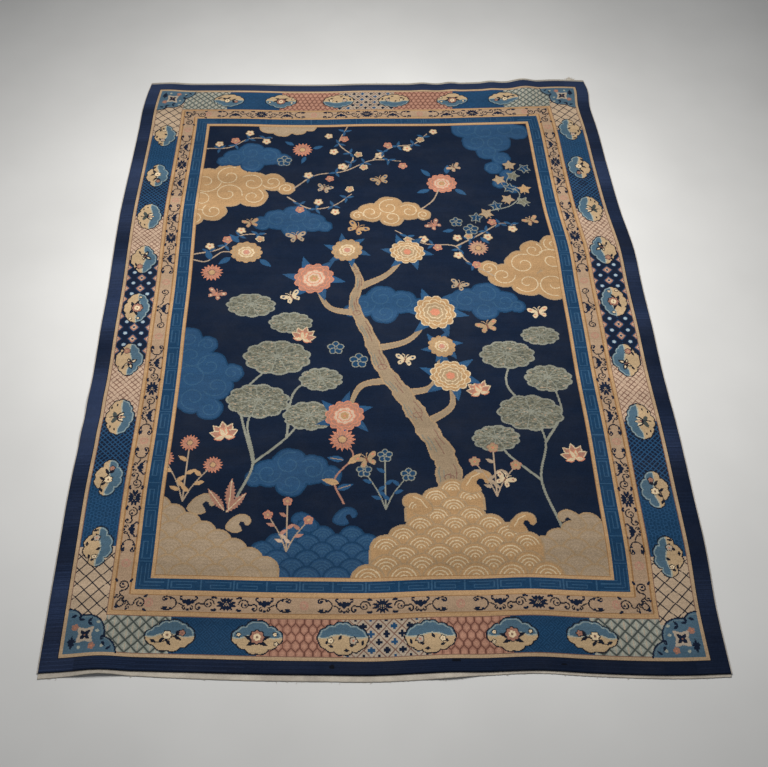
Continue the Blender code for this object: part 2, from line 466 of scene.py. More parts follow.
def flowering_sprig(spot):
    sweep(spot, [(-46, -26), (-16, -20), (8, -6), (34, 4)], 4.8, "ink")
    for x, y, turn, length in ((-34, -23, 40, 26), (-10, -16, -50, 24), (14, -2, -30, 30),
                               (20, 0, 60, 22), (-44, -26, 150, 22)):
        blade(at(spot, x, y, turn), length, 11, "ink")
    little_bloom(at(spot, -8, 0), 6, 15, "ivory")
    little_bloom(at(spot, 40, 8), 5, 10, "clay_pink")


def lotus_bud(spot):
    for x, turn in ((-30, 24), (26, 156)):
        blade(at(spot, x, -28, turn), 44, 17, "slate")
    sweep(spot, [(0, -40), (3, -24), (0, -8)], 4.8, "ink")
    for turn in (48, 132, 90):
        blade(at(spot, 0, -12, turn), 36, 18, "ink")
        blade(at(spot, 0, -8, turn), 29, 11, "ivory")
    blade(at(spot, 0, -8, 90), 24, 7, "clay_pink")
    for x, y in ((-58, -14), (56, -18), (-46, -32), (44, -38)):
        dot(spot, 13, 7, "ink", x, y)


def butterfly(spot):
    for flip in (1, -1):
        side = at(spot, 0, 0, 0, 1, flip)
        blade(at(side, 1, 2, 38), 40, 24, "ink")
        blade(at(side, 1, -1, -34), 28, 18, "ink")
        blade(at(side, 10, 9, 38), 18, 10, "ivory")
        blade(at(side, 8, -7, -34), 11, 7, "ivory")
        sweep(side, [(2, 8), (8, 20), (16, 24)], 3.6, "ink")
    dot(spot, 7, 24, "clay_brown")


def meadow_butterfly(spot):
    butterfly(at(spot, -18, 2, 20, 0.85))
    little_bloom(at(spot, 44, -16), 6, 14, "clay_pink", "gold")
    blades(spot, ((44, -28, 200), (44, -28, -20), (-52, -26, 20)), 26, 9, "ink")


def peony_and_leaves(spot):
    for turn, length in ((160, 48), (20, 48), (205, 38), (-25, 38)):
        blade(at(spot, 0, -12, turn), length, 15, "ink")
    fill(put(spot, rosette(27, 8, 0.2)), "ink")
    fill(put(spot, rosette(23, 8, 0.24)), "clay_pink")
    fill(put(spot, rosette(13, 6, 0.25, 20)), "ivory")
    dot(spot, 8, 8, "clay_brown")
    for x, y in ((-60, 8), (58, 10), (62, -22)):
        little_bloom(at(spot, x, y), 5, 6, "ivory")


def scattered_petals(spot):
    blades(spot, ((-58, -18, 30), (-30, -30, 160), (-14, -6, 60), (20, -26, 20), (50, -14, 140),
                  (62, -24, 80), (2, -40, 0)), 20, 10, "ink")
    little_bloom(at(spot, -40, -8), 5, 9, "ivory")
    little_bloom(at(spot, 34, -8), 5, 12, "cream", "rose")


SPRIGS = (flowering_sprig, peony_and_leaves, scattered_petals, meadow_butterfly, lotus_bud)


def cartouche(spot, joints, sprig, horizon):
    """A lobed medallion: sky toward the field, tan toward the edge, and a sprig across both."""
    outline = scallops(joints, 0.2)
    fill(put(spot, outline), "ink")
    fill(put(spot, outline * [0.945, 0.92]), "sky")
    stroke(put(spot, outline * [0.895, 0.85]), 4.4, "pale_blue", closed=True, over=("sky",))
    ground = [(-120, -90), (-120, horizon), (-70, horizon - 6), (-36, horizon + 5), (0, horizon + 8),
              (34, horizon), (70, horizon - 4), (120, horizon + 4), (120, -90)]
    low = put(spot, np.vstack([ground[:1], curve(ground[1:-1]), ground[-1:]]))
    fill(low, "wheat", over=("sky", "pale_blue"))
    stroke(low[1:-1], 5, "celadon", over=("sky", "pale_blue", "wheat"))
    sprig(at(spot, 0, 0, 0, 1.2))


# The outline, horizon and sprig of each cartouche along a side
SHORT_CARTOUCHES = ((PEAKED, -2, 0), (POINTED, 0, 1), (LOBED, 6, 2))
LONG_CARTOUCHES = ((STEPPED, 2, 2), (STEPPED, -2, 0), (LOBED, 4, 4), (POINTED, 0, 3), (LOBED, 4, 1))


def cartouches():
    for side in SHORT_SIDES + LONG_SIDES:
        kinds = SHORT_CARTOUCHES if side in SHORT_SIDES else LONG_CARTOUCHES
        last = len(side.cartouches) - 1
        for number, s in enumerate(side.cartouches):
            joints, horizon, sprig = kinds[min(number, last - number)]
            flip = 1 if 2 * number <= last else -1
            spot = on_side(side, s, middle(side, PANEL_BAND), size=side.size, flip=flip)
            cartouche(spot, joints, SPRIGS[sprig], horizon)


# The cloud in each corner of the cartouche band, in mm from the band's outer corner
CORNER_JOINTS = ((0, 184), (52, 159), (156, 64), (208, 0))
CORNER_BULGES = (0.14, 0.27, 0.16)


def corner_cloud(spot):
    arcs = zip(CORNER_JOINTS, CORNER_JOINTS[1:], CORNER_BULGES)
    rim = np.vstack([arc(start, end, bulge) for start, end, bulge in arcs])
    fill(put(spot, np.vstack([[(0, 0)], rim])), "sky")
    stroke(put(spot, rim * 0.93 + [3, 3]), 4.0, "celadon_blue", over=("sky",))
    stroke(put(spot, rim), 6.4, "guard_navy")
    stroke(put(spot, spiral(146, 58, 8, 0.7, 20, -1)), 5.0, "guard_navy")
    corner_flower(at(spot, 78, 75))
    for turn in (90, 55, 125, 20, 160, -90, -50, -130):
        blade(at(spot, 28, 44, turn), 30 if turn in (90, -90) else 20, 11, "guard_navy")
    for x, y in ((35, 107), (110, 28)):
        fill(put(at(spot, x, y), rosette(15, 5, 0.3)), "clay_pink")
        dot(spot, 8, 8, "rose", x, y)
    for x, y in ((126, 127), (126, 90), (60, 24), (150, 26)):
        dot(spot, 15, 13, "celadon", x, y, steps=9)
    blades(spot, ((14, 150, 20), (46, 142, -10), (46, 142, 60), (84, 128, -35), (84, 128, 50),
                  (150, 46, -60), (140, 62, 20), (168, 10, 40)), 26, 12, "guard_navy")


def corner_flower(spot):
    """A cream flower of four pointed and four round petals."""
    quarters = (0, 90, 180, 270)
    for turn in quarters:
        blade(at(spot, 0, 0, turn + 45), 46, 30, "cream")
        dot(at(spot, 0, 0, turn), 26, 24, "cream", 14, 0, steps=10)
    for turn in quarters:
        blade(at(spot, 0, 0, turn + 45), 27, 17, "guard_navy")
    dot(spot, 9, 9, "clay_brown")


def corner_spots(band):
    """The four corners of a band, each turned so that its sides run along x and y."""
    spots = []
    for x, y in band_corners(band):
        x_way, y_way = (1 if x < 0 else -1), (1 if y < 0 else -1)
        spots.append(Place(x, y, 0 if y_way > 0 else 180, 1, x_way * y_way))
    return spots


def chrysanthemum(spot):
    for turn, reach in ((12, 44), (45, 38), (74, 32), (106, 32), (135, 38), (168, 44)):
        for half_turn in (0, 180):
            blade(at(at(spot, 0, 0, turn + half_turn), 9, 0), reach - 9, 11.5, "guard_navy")
    stroke(put(spot, ellipse(19, 17, 12)), 3.6, "guard_navy", closed=True)
    dot(spot, 9, 9, "slate")


def bat(spot):
    """A bat seen from above, its wings raised and their tips curled."""
    wing = [(-1, -17), (5, -15), (11, -8), (19, -8), (25, -1), (29, 8), (34, 13), (28, 15), (21, 9),
            (15, 12), (9, 7), (5, 13), (-1, 12)]
    for flip in (1, -1):
        side = at(spot, 0, 0, 0, 1, flip)
        fill(put(side, wing), "guard_navy")
        sweep(side, [(27, 8), (34, 15), (33, 23), (26, 23)], 6.0, "guard_navy", 4.6)


# Widths of the scroll's tendrils, of the curls at their ends and of the finer ones beside the
# roundels, and how far its base line lies outside the middle of the band, all in mm
TENDRIL = 5.6
CURL = 5.0
FINE_TENDRIL = 5.4
SCROLL_BASE = 32


def curl(spot, radius):
    """A round tendril that ends in a bud."""
    stroke(put(spot, spiral(0, 0, radius, 1.15, 180, -1, inner=0.38)), TENDRIL, "ink", end_width=4.4)
    dot(spot, 11, 10, "guard_navy", radius * 0.22, -radius * 0.1)


def tendrils(spot):
    """Half of one repeat of the scroll, from the middle of its flower to the roundel."""
    curl(at(spot, 72, 32), 23)
    for y, turn in ((58, 165), (8, 195)):
        blade(at(spot, 64, y, turn), 22, 11, "guard_navy")
        dot(spot, 12, 10, "guard_navy", 45, y)
    sweep(spot, [(92, 30), (102, 30), (112, 34), (122, 28), (124, 14), (114, 6), (106, 14)], TENDRIL, "ink")
    dot(spot, 11, 10, "guard_navy", 110, 16)
    bat(at(spot, 154, 38))
    for flip, x in ((1, 142), (-1, 168)):
        stroke(put(at(spot, x, 12, 0, 1, flip), spiral(0, 0, 10, 0.9, 100, 1)), CURL, "ink")
        dot(spot, 10, 10, "guard_navy", x + flip * 11, 6)
    sweep(spot, [(174, 20), (188, 30), (204, 33)], FINE_TENDRIL, "ink")
    sweep(spot, [(258, 56), (244, 60), (224, 56), (208, 46), (203, 32), (208, 17), (224, 6), (246, 3),
                 (260, 9)], TENDRIL, "ink")
    for y, flip in ((50, 1), (13, -1)):
        end = at(spot, 250, y, 0, 1, flip)
        stroke(put(end, spiral(0, 0, 10, 0.8, 20, -1)), FINE_TENDRIL, "guard_navy")
        dot(spot, 13, 11, "guard_navy", 244, y)
        blade(at(spot, 232, y, 180 - 25 * flip), 18, 10, "guard_navy")


def roundel(spot):
    for size in (34, 20):
        stroke(put(spot, rosette(size / 2, 4, 0.12, 45)), 3.6, "rose_clay", closed=True)


def corner_scroll(spot):
    """The tendrils in a corner of the scroll band, in mm from the band's outer corner."""
    for flip, turn in ((1, 0), (-1, -90)):
        arm = at(spot, 0, 0, turn, 1, flip)
        sweep(arm, [(14, 22), (26, 14), (40, 22), (44, 36), (56, 40), (66, 26), (76, 22), (84, 30)],
              TENDRIL, "ink")
        stroke(put(arm, spiral(30, 44, 11, 0.9, 320, 1)), CURL, "ink")
        stroke(put(arm, spiral(62, 14, 10, 0.9, 90, 1)), CURL, "ink")
        stroke(put(arm, spiral(108, 33, 24, 1.15, 180, -1, inner=0.38)), TENDRIL, "ink")
        dot(arm, 12, 11, "guard_navy", 112, 31)
        dot(arm, 11, 10, "guard_navy", 54, 6)
        blades(arm, ((120, 58, 30), (120, 9, -30)), 22, 12, "guard_navy")
    dot(spot, 15, 15, "guard_navy", 14, 14)


# Along each side, where the scroll's flowers and its roundels lie, in mm from the middle
SHORT_SCROLL = ((0, -630, 630), (315, -315, 945, -945))
LONG_SCROLL = ((500, -500, 1088, -1088), (180, -180, 793, -793, 1398, -1398))


def scrolls():
    for side in SHORT_SIDES + LONG_SIDES:
        line = middle(side, SCROLL_BAND)
        flowers, roundels = SHORT_SCROLL if side in SHORT_SIDES else LONG_SCROLL
        for s in flowers:
            for flip in (1, -1):
                tendrils(on_side(side, s, line - SCROLL_BASE, flip=flip))
            chrysanthemum(on_side(side, s, line))
        for s in roundels:
            roundel(on_side(side, s, line))
    for side in LONG_SIDES:
        middle_scroll(side, middle(side, SCROLL_BAND) - SCROLL_BASE)
    for spot in corner_spots(SCROLL_BAND):
        corner_scroll(spot)


def middle_scroll(side, start):
    """The bat and tendrils at the middle of a long side."""
    bat(on_side(side, 0, start + 38))
    for flip in (1, -1):
        spot = on_side(side, 0, start, flip=flip)
        stroke(put(spot, spiral(13, 12, 10, 0.9, 100, 1)), CURL, "ink")
        sweep(spot, [(22, 18), (40, 30), (58, 28), (74, 34), (90, 36)], TENDRIL, "ink")
        curl(at(spot, 110, 32), 21)


# One unit of the key fret, in shares of its length and of the band's width
FRET_BAR = ((0, 0.06), (0, 0.94))
FRET_KEY = ((0.13, 0.80), (0.90, 0.80), (0.90, 0.22), (0.28, 0.22), (0.28, 0.52), (0.74, 0.52))

# The lines of the fret, and of the nested angles in its corners: widths, and near and far ends, in mm
FRET_LINE = 3.8
ANGLE_LINE = 3.6
CORNER_ANGLES = ((6, 118), (20, 104), (34, 118), (48, 118))


def key_fret():
    for side in SHORT_SIDES + LONG_SIDES:
        start = depth(side, FRET_BAND)
        wide = depth(side, FRET_BAND + 1) - start
        length = 2 * (side.half - start)
        unit = length / side.units
        for number in range(1, side.units):
            joint = -length / 2 + number * unit
            bar = on_side(side, joint, start)
            stroke(put(bar, np.array(FRET_BAR) * [unit, wide]), FRET_LINE, "key_blue")
            if number < side.units - 1:
                flip = 1 if number % 2 == 0 else -1
                spot = on_side(side, joint if flip == 1 else joint + unit, start, flip=flip)
                stroke(put(spot, np.array(FRET_KEY) * [unit, wide]), FRET_LINE, "key_blue")
    for spot in corner_spots(FRET_BAND):
        for near, far in CORNER_ANGLES:
            stroke(put(spot, [(far, near), (near, near), (near, far)]), ANGLE_LINE, "key_blue")


# The dark lines beside the gold ones: the width of one, the band that each starts, how far inside
# the band's edge it lies in widths, and its yarn
EDGE_LINE = 3.4
EDGE_LINES = ((1, -0.5, "ink"), (PANEL_BAND, 0.5, "clay_brown"), (PANEL_BAND + 1, -0.5, "clay_brown"),
              (SCROLL_BAND, 0, "old_gold"), (SCROLL_BAND + 1, 0, "old_gold"), (FIELD_BAND, -0.5, "old_gold"))


def border():
    bands()
    dark_spots_and_painted_shade()
    diapers()
    edge_lines()
    cartouches()
    for spot in corner_spots(PANEL_BAND):
        corner_cloud(spot)
    scrolls()
    key_fret()


def edge_lines():
    """The thin dark lines that set the bands off from their gold lines."""
    for band, inside, yarn in EDGE_LINES:
        stroke(band_corners(band, inside * EDGE_LINE), EDGE_LINE, yarn, closed=True)


# Field
# Half its width and half its length, in mm
FIELD_X = RIGHT.x - depth(RIGHT, FIELD_BAND)
FIELD_Y = FAR.y - depth(FAR, FIELD_BAND)


def knot_noise(spread_x, spread_y, seed):
    """Even noise over the whole chart, in patches of a few knots."""
    row = np.arange(ROWS)[:, None] // spread_y
    column = np.arange(COLUMNS)[None, :] // spread_x
    mixed = (row * 7919 + column * 104729 + seed * 1299709) % 2147483647
    mixed = (mixed * 48271) % 2147483647
    mixed = (mixed ^ (mixed >> 11)) * 69621 % 2147483647
    return mixed / 2147483647


# Noise in single knots and in patches of them
FLECKS = knot_noise(2, 1, 5)
BLOTCHES = knot_noise(4, 2, 9)


def fleck(points, ground, layers):
    """Single knots of other yarns scattered over the ground inside an outline."""
    rows, columns, inside = covered(points)
    patch = chart[rows, columns]
    inside &= patch == YARN[ground]
    chance = (FLECKS[rows, columns] + BLOTCHES[rows, columns]) / 2
    for low, high, yarn in layers:
        patch[inside & (chance >= low) & (chance < high)] = YARN[yarn]


def inset(outline, by):
    """An outline drawn in towards its middle by some mm."""
    centre = outline.mean(axis=0)
    ray = outline - centre
    length = np.hypot(ray[:, 0], ray[:, 1])[:, None]
    return centre + ray * np.maximum(1 - by / length, 0.05)


# The rim of a cloud or a wave, in mm
RIM = 8


def cloud(spot, lobes, yarns):
    """A bank of cloud: round lobes in one rim, each with a line that curls in to its middle."""
    rim, ground, line = yarns
    discs = [put(spot, rosette(radius, 5 + number % 3, 0.07, 50 * number) + [x, y])
             for number, (x, y, radius) in enumerate(lobes)]
    for disc in discs:
        fill(disc, rim)
    for disc in discs:
        fill(inset(disc, RIM), ground)
    for number, (x, y, radius) in enumerate(lobes):
        way = 1 if number % 2 else -1
        curl_in = spiral(x, y, radius * 0.74, 1.25, 70 * number, way, inner=0.22)
        stroke(put(spot, curl_in), 5.2, line, over=(ground,))


# Yarns of the banks of cloud and waves: rim, ground and line
GOLD_BANK = ("straw", "rich_gold", "bone")
SAND_BANK = ("straw", "sand", "flax")
BLUE_BANK = ("deep_blue", "blue_bank", "key_blue")


def wave_scale(x, y, radius, yarns):
    """One wave of a bank: round on top, with arcs inside one another."""
    rim, ground, line = yarns
    angles = np.linspace(0, math.pi, 15)
    arch = np.array([(radius * math.cos(angle), radius * math.sin(angle)) for angle in angles])
    base = np.array([(-radius, -radius * 0.9), (radius, -radius * 0.9)])
    inner = 1 - RIM / radius
    fill(np.vstack([arch, base]) + [x, y], rim)
    fill(np.vstack([arch * inner, base * inner]) + [x, y], ground)
    for share in (0.70, 0.48, 0.26):
        stroke(arch[1:-1] * share + [x, y], 5.0, line)
    fill(ellipse(10, 10, x=x, y=y + radius * 0.06), line)


def foam(x, y, radius, flip, yarns):
    """A breaking crest that curls over."""
    rim, ground, line = yarns
    body = curve([(-1.5, -0.6), (-0.9, 0.5), (0.1, 1.1), (1.0, 0.8), (1.2, 0.1), (0.8, -0.3), (0.6, 0.2),
                  (0.1, 0.3), (-0.2, -0.2), (0.3, -0.9), (-0.6, -1.2)], closed=True)
    body = body * [flip * radius, radius] + [x, y]
    crease = np.array([(flip * -0.9, -0.4), (flip * -0.4, 0.4), (flip * 0.2, 0.7)]) * radius + [x, y]
    fill(body, rim)
    fill(inset(body, 7), ground)
    stroke(crease, 4.6, line, over=(ground,))


def waves(left, right, heights, radius, yarns):
    """A bank of overlapping waves along the foot of the field, as high in each place as its profile."""
    step = radius * 0.62
    for row in range(int(max(heights) / step) + 1, -1, -1):
        y = -FIELD_Y + row * radius * 0.62 - radius * 0.35
        start = left + (row % 2) * radius
        for x in np.arange(start, right + 1, 2 * radius):
            profile = np.interp((x - left) / (right - left), np.linspace(0, 1, len(heights)), heights)
            if row * step <= profile:
                wave_scale(x, y, radius * (1 - 0.02 * row), yarns)


def lotus_leaf(spot, width, height):
    """A round leaf seen a little from the side, mottled in sage, with veins and a pale rim."""
    lobes = 11
    ring = put(spot, rosette(0.5, lobes, 0.12, 14) * [width, height])
    inner = inset(ring, 9)
    fill(ring, "leaf_pale")
    fill(inner, "sage")
    fleck(inner, "sage", ((0.0, 0.34, "leaf_dark"), (0.68, 0.86, "leaf_pale"), (0.86, 1.0, "flax")))
    for number in range(lobes):
        angle = math.radians(14 + 360 / lobes * (number + 0.5))
        x, y = 0.40 * width * math.cos(angle), 0.40 * height * math.sin(angle)
        vein = curve([(0, height * 0.04), (x * 0.5, y * 0.5 + height * 0.03), (x, y)])
        stroke(put(spot, vein), 4.2, "leaf_pale", over=("sage", "leaf_dark", "flax"))
    dot(spot, width * 0.09, height * 0.09, "leaf_pale", 0, height * 0.04)


def lotus(spot, size):
    """A lotus in bloom, seen from the side."""
    for turn, length in ((90, 1.0), (55, 0.95), (125, 0.95), (22, 0.85), (158, 0.85)):
        petal = at(spot, 0, 0, turn)
        blade(petal, size * length, size * 0.5, "bone")
        blade(at(petal, size * 0.06, 0), size * length * 0.84, size * 0.34, "clay_pink")
    for turn, length in ((74, 0.7), (106, 0.7), (-8, 0.6), (188, 0.6)):
        petal = at(spot, 0, -size * 0.06, turn)
        blade(petal, size * length, size * 0.36, "rose")
        blade(petal, size * length * 0.86, size * 0.24, "bone")


def trunk(points, widths):
    """A gnarled trunk: bark in tan with dark knots and a pale edge."""
    line = curve(points, steps=10)
    count = len(line)
    width = np.interp(np.linspace(0, 1, count), np.linspace(0, 1, len(widths)), widths)
    wobble = 1 + 0.10 * np.sin(np.arange(count) * 1.1) + 0.06 * np.sin(np.arange(count) * 2.7)
    run = np.gradient(line, axis=0)
    left = np.stack([-run[:, 1], run[:, 0]], 1) / np.hypot(run[:, 0], run[:, 1])[:, None]
    half = (width * wobble / 2)[:, None]
    for yarn, trim in (("straw", 0), ("trunk", 7)):
        edge = np.maximum(half - trim, 2)
        fill(np.vstack([line + left * edge, (line - left * edge)[::-1]]), yarn)
    for share in (-0.55, -0.1, 0.35, 0.7):
        groove = line + left * half * share
        yarn = "clay_brown" if share < 0.2 else "leaf_grey"
        for start in range(int(3 + 4 * abs(share)), count - 4, 9):
            stroke(groove[start:start + 5], 4.2, yarn, over=("trunk",))
    for start in range(6, count - 3, 17):
        knot = put(Place(*line[start]), ellipse(widths[0] * 0.34, widths[0] * 0.24, 10))
        stroke(knot, 4.6, "clay_brown", closed=True, over=("trunk", "leaf_grey"))


def twig(points, width=9, end=5, yarn="flax"):
    line = curve(points)
    stroke(line, width, yarn, end_width=end)
    return line


def leaf(spot, length, wide, yarn="mid_blue", vein="key_blue", bend=0.0):
    blade(spot, length, wide, yarn, bend)
    t = np.linspace(0.08, 0.8, 6)[:, None]
    stroke(put(spot, np.hstack([t * length, bend * np.sin(np.pi * t)])), 3.6, vein)


def leaves(places, length, wide):
    """Blue leaves of one size, each at its x, y and turn."""
    for x, y, turn in places:
        leaf(Place(x, y, turn), length, wide)


# The leaves on the tree and the branches have these yarns in turn
LEAF_BLUES = ("blue_bank", "mid_blue")

# The turns of a flower's five petals
FIVE_PETALS = range(90, 450, 72)


def notched_leaf(spot, size, yarn, line):
    """An outlined leaf with five points."""
    joints = []
    for number in range(10):
        reach = size if number % 2 == 0 else size * 0.55
        angle = math.radians(90 - number * 36)
        joints.append((reach * math.cos(angle), reach * math.sin(angle)))
    outline = put(spot, joints)
    fill(outline, line)
    fill(inset(outline, 6), yarn)
    stroke(put(spot, [(0, -size), (0, size * 0.5)]), 3.6, line)


def blossom(spot, radius, petals, heart, rim):
    """A plum blossom of five round petals."""
    for turn in FIVE_PETALS:
        petal = at(spot, 0, 0, turn)
        dot(petal, radius, radius * 0.92, rim, radius * 0.52, 0, steps=12)
    for turn in FIVE_PETALS:
        petal = at(spot, 0, 0, turn)
        dot(petal, radius * 0.76, radius * 0.68, petals, radius * 0.5, 0, steps=10)
    dot(spot, radius * 0.55, radius * 0.55, heart, steps=9)


# Yarns of the peonies: outer petals, inner petals, line and heart
GOLD_PEONY = ("rich_gold", "straw", "bone", "rose")
PINK_PEONY = ("clay_pink", "pale_clay", "rose", "rich_gold")
STRAW_PEONY = ("straw", "bone", "rich_gold", "rose_clay")


def peony(spot, radius, yarns):
    """A full peony: four rows of scalloped petals round its heart."""
    outer, inner, line, heart = yarns
    rows = ((1.0, 12, outer), (0.80, 10, outer), (0.60, 9, inner), (0.40, 7, inner))
    for number, (share, lobes, yarn) in enumerate(rows):
        ring = put(spot, rosette(radius * share, lobes, 0.16, 17 * number, squash=0.92))
        fill(ring, line)
        fill(inset(ring, 5.5), yarn)
    for turn in range(0, 360, 45):
        stroke(put(at(spot, 0, 0, turn), [(radius * 0.62, 0), (radius * 0.74, 0)]), 4.2, line)
    fill(put(spot, rosette(radius * 0.22, 6, 0.2)), heart)
    dot(spot, radius * 0.14, radius * 0.14, "rose")


def aster(spot, radius, petals="clay_pink", tip="rose"):
    """A chrysanthemum of long thin petals."""
    count = 16
    for number in range(count):
        petal = at(at(spot, 0, 0, 360 / count * number), radius * 0.3, 0)
        blade(petal, radius * 0.72, radius * 0.27, tip)
        blade(petal, radius * 0.6, radius * 0.15, petals)
    fill(put(spot, rosette(radius * 0.36, 9, 0.15)), "clay_brown")
    fill(put(spot, rosette(radius * 0.28, 9, 0.15)), "gold")


def open_flower(spot, radius):
    """A flower drawn only in outline."""
    for turn in FIVE_PETALS:
        petal = put(at(spot, 0, 0, turn), ellipse(radius * 0.9, radius * 0.8, 12, radius * 0.55, 0))
        fill(petal, "deep_blue")
        stroke(petal, 4.6, "leaf_pale", closed=True)
    dot(spot, radius * 0.5, radius * 0.5, "leaf_pale", steps=9)
    dot(spot, radius * 0.26, radius * 0.26, "deep_blue", steps=7)


def spray(spot, height, bloom, leaf_yarns, yarn="flax"):
    """An upright plant: a bent stem, pairs of leaves and a bloom on top of each fork."""
    tips = ((0.0, 1.0), (-0.34, 0.72), (0.38, 0.62))
    for x, y in tips:
        line = curve([(0, 0), (x * height * 0.35, y * height * 0.45), (x * height, y * height)])
        stroke(put(spot, line), 6.5, yarn, end_width=4.6)
        for share, side in ((0.35, 1), (0.55, -1), (0.75, 1)):
            joint = at(spot, *line[int(share * (len(line) - 1))], 90 + side * 58 - 30 * x)
            blade(joint, height * 0.17, height * 0.07, leaf_yarns[int(share * 20) % len(leaf_yarns)])
    for x, y in tips:
        bloom(at(spot, x * height, y * height))


def feathered_leaf(spot, length):
    """A long leaf with saw-toothed sides."""
    teeth = 9
    x = np.linspace(0, length, 2 * teeth + 1)
    wide = 0.17 * length * np.sin(np.pi * (x / length) ** 0.8)
    saw = np.where(np.arange(2 * teeth + 1) % 2 == 0, 0.62, 1.0)
    upper = np.stack([x, wide * saw], 1)
    lower = np.stack([x, -wide * saw], 1)
    fill(put(spot, np.vstack([upper, lower[::-1]])), "clay_pink")
    stroke(put(spot, [(0, 0), (length * 0.9, 0)]), 4.0, "bone")


def flying_butterfly(spot, wing, mark, body):
    for flip in (1, -1):
        side = at(spot, 0, 0, 0, 1, flip)
        fill(put(side, curve([(3, 4), (20, 26), (46, 38), (58, 26), (46, 8), (20, -2)], closed=True)), wing)
        fill(put(side, curve([(3, 0), (24, -4), (38, -20), (28, -38), (10, -24)], closed=True)), wing)
        dot(side, 17, 12, mark, 40, 22, steps=10)
        dot(side, 11, 11, mark, 24, -20, steps=9)
        sweep(side, [(2, 14), (8, 32), (18, 40)], 4.0, wing)
    dot(spot, 9, 40, body, steps=10)


def foot():
    """Banks of waves along the foot of the field, in sand, blue and gold."""
    waves(-560, 60, (90, 210, 250, 200, 120), 62, BLUE_BANK)
    waves(-FIELD_X - 20, -480, (330, 280, 170, 40), 66, SAND_BANK)
    waves(610, FIELD_X + 20, (60, 200, 250, 280), 66, SAND_BANK)
    waves(-60, 700, (60, 180, 330, 430, 400, 270, 150, 60), 74, GOLD_BANK)
    for x, y, radius, flip, yarns in (
            (-760, -1110, 46, 1, SAND_BANK), (-600, -1200, 40, 1, SAND_BANK),
            (-330, -1190, 44, -1, BLUE_BANK), (-150, -1160, 40, 1, BLUE_BANK),
            (150, -1110, 50, -1, GOLD_BANK), (420, -1000, 54, 1, GOLD_BANK),
            (600, -1210, 46, 1, GOLD_BANK), (800, -1190, 44, -1, SAND_BANK)):
        foam(x, y, radius, flip, yarns)


# Clouds at the sides and the head of the field: the place, the yarns, and the place and radius of
# each lobe
CLOUDS = (
    (Place(-760, 880), GOLD_BANK,
     ((-150, 60, 120), (-20, 110, 110), (110, 60, 96), (220, 70, 74), (-160, -80, 110), (-20, -30, 112),
      (120, -50, 86), (-90, -170, 80), (300, 20, 52), (-190, -220, 62))),
    (Place(800, 240), GOLD_BANK,
     ((-150, -20, 84), (-40, 60, 100), (110, 90, 108), (-30, -70, 92), (100, -80, 110), (-220, 30, 56),
      (20, 160, 70), (130, 200, 70))),
    (Place(100, 700), GOLD_BANK,
     ((-100, 0, 74), (0, 40, 86), (106, 10, 72), (10, -40, 70), (180, -20, 44), (-170, -20, 42))),
    (Place(-800, -420), BLUE_BANK,
     ((-90, 120, 96), (0, 60, 92), (-80, -10, 100), (40, -60, 84), (-60, -130, 92), (110, 20, 58),
      (20, -190, 66), (-110, 230, 70), (-20, 190, 56))),
    (Place(680, 1340), BLUE_BANK,
     ((-110, 60, 88), (0, 30, 96), (110, 50, 92), (-60, -60, 84), (60, -70, 86), (190, 20, 70),
      (0, -150, 70), (70, -210, 58), (20, -290, 54), (90, -350, 46), (40, -420, 42), (110, -470, 34))))

# The small blue clouds: the lobes of each, and where and which way round they lie
SMALL_CLOUD = ((-120, 0, 74), (-30, 50, 84), (70, 20, 80), (-20, -50, 72), (150, -10, 54), (-180, -30, 44))
SMALL_CLOUD_PLACES = ((-640, 1150, 1), (520, 40, -1), (60, 30, 1), (-430, 630, -1), (-370, -950, 1))


def clouds():
    for spot, yarns, lobes in CLOUDS:
        cloud(spot, lobes, yarns)
    for x, y, flip in SMALL_CLOUD_PLACES:
        cloud(Place(x, y, 0, 1, flip), SMALL_CLOUD, BLUE_BANK)
    cloud(Place(-500, 1420), ((-80, 10, 60), (0, -10, 66), (90, 0, 58), (160, 14, 40)), SAND_BANK)


# The two groups of lotus: the points of each stem, and the place and size of each leaf
LOTUS_GROUPS = (
    (([(-620, -1080), (-560, -900), (-600, -700), (-560, -560)], [(-560, -900), (-420, -760), (-330, -620)],
      [(-560, -900), (-640, -560), (-520, -360), (-500, -260)], [(-420, -760), (-400, -520), (-300, -420)]),
     ((-560, -560, 300, 200), (-320, -640, 250, 165), (-480, -300, 330, 215), (-270, -430, 210, 140),
      (-620, 30, 250, 160), (-420, -80, 220, 140))),
    (([(760, -1230), (700, -1000), (740, -800), (700, -640)], [(700, -1000), (560, -860), (540, -760)],
      [(740, -800), (830, -640), (820, -480)], [(700, -640), (600, -480), (640, -320)]),
     ((690, -640, 310, 205), (520, -780, 220, 145), (800, -440, 230, 160), (620, -300, 270, 175),
      (790, -180, 190, 120))))


def lotus_pond():
    """Lotus leaves and flowers on long stems, in two groups."""
    for stems, pads in LOTUS_GROUPS:
        for points in stems:
            stroke(curve(points), 12, "leaf_pale", end_width=8)
        for x, y, width, height in pads:
            lotus_leaf(Place(x, y), width, height)
    for x, y, turn, size in ((-700, -760, 10, 84), (-360, -180, -15, 80), (860, -880, 8, 78),
                             (470, -520, 12, 78)):
        lotus(Place(x, y, turn), size)


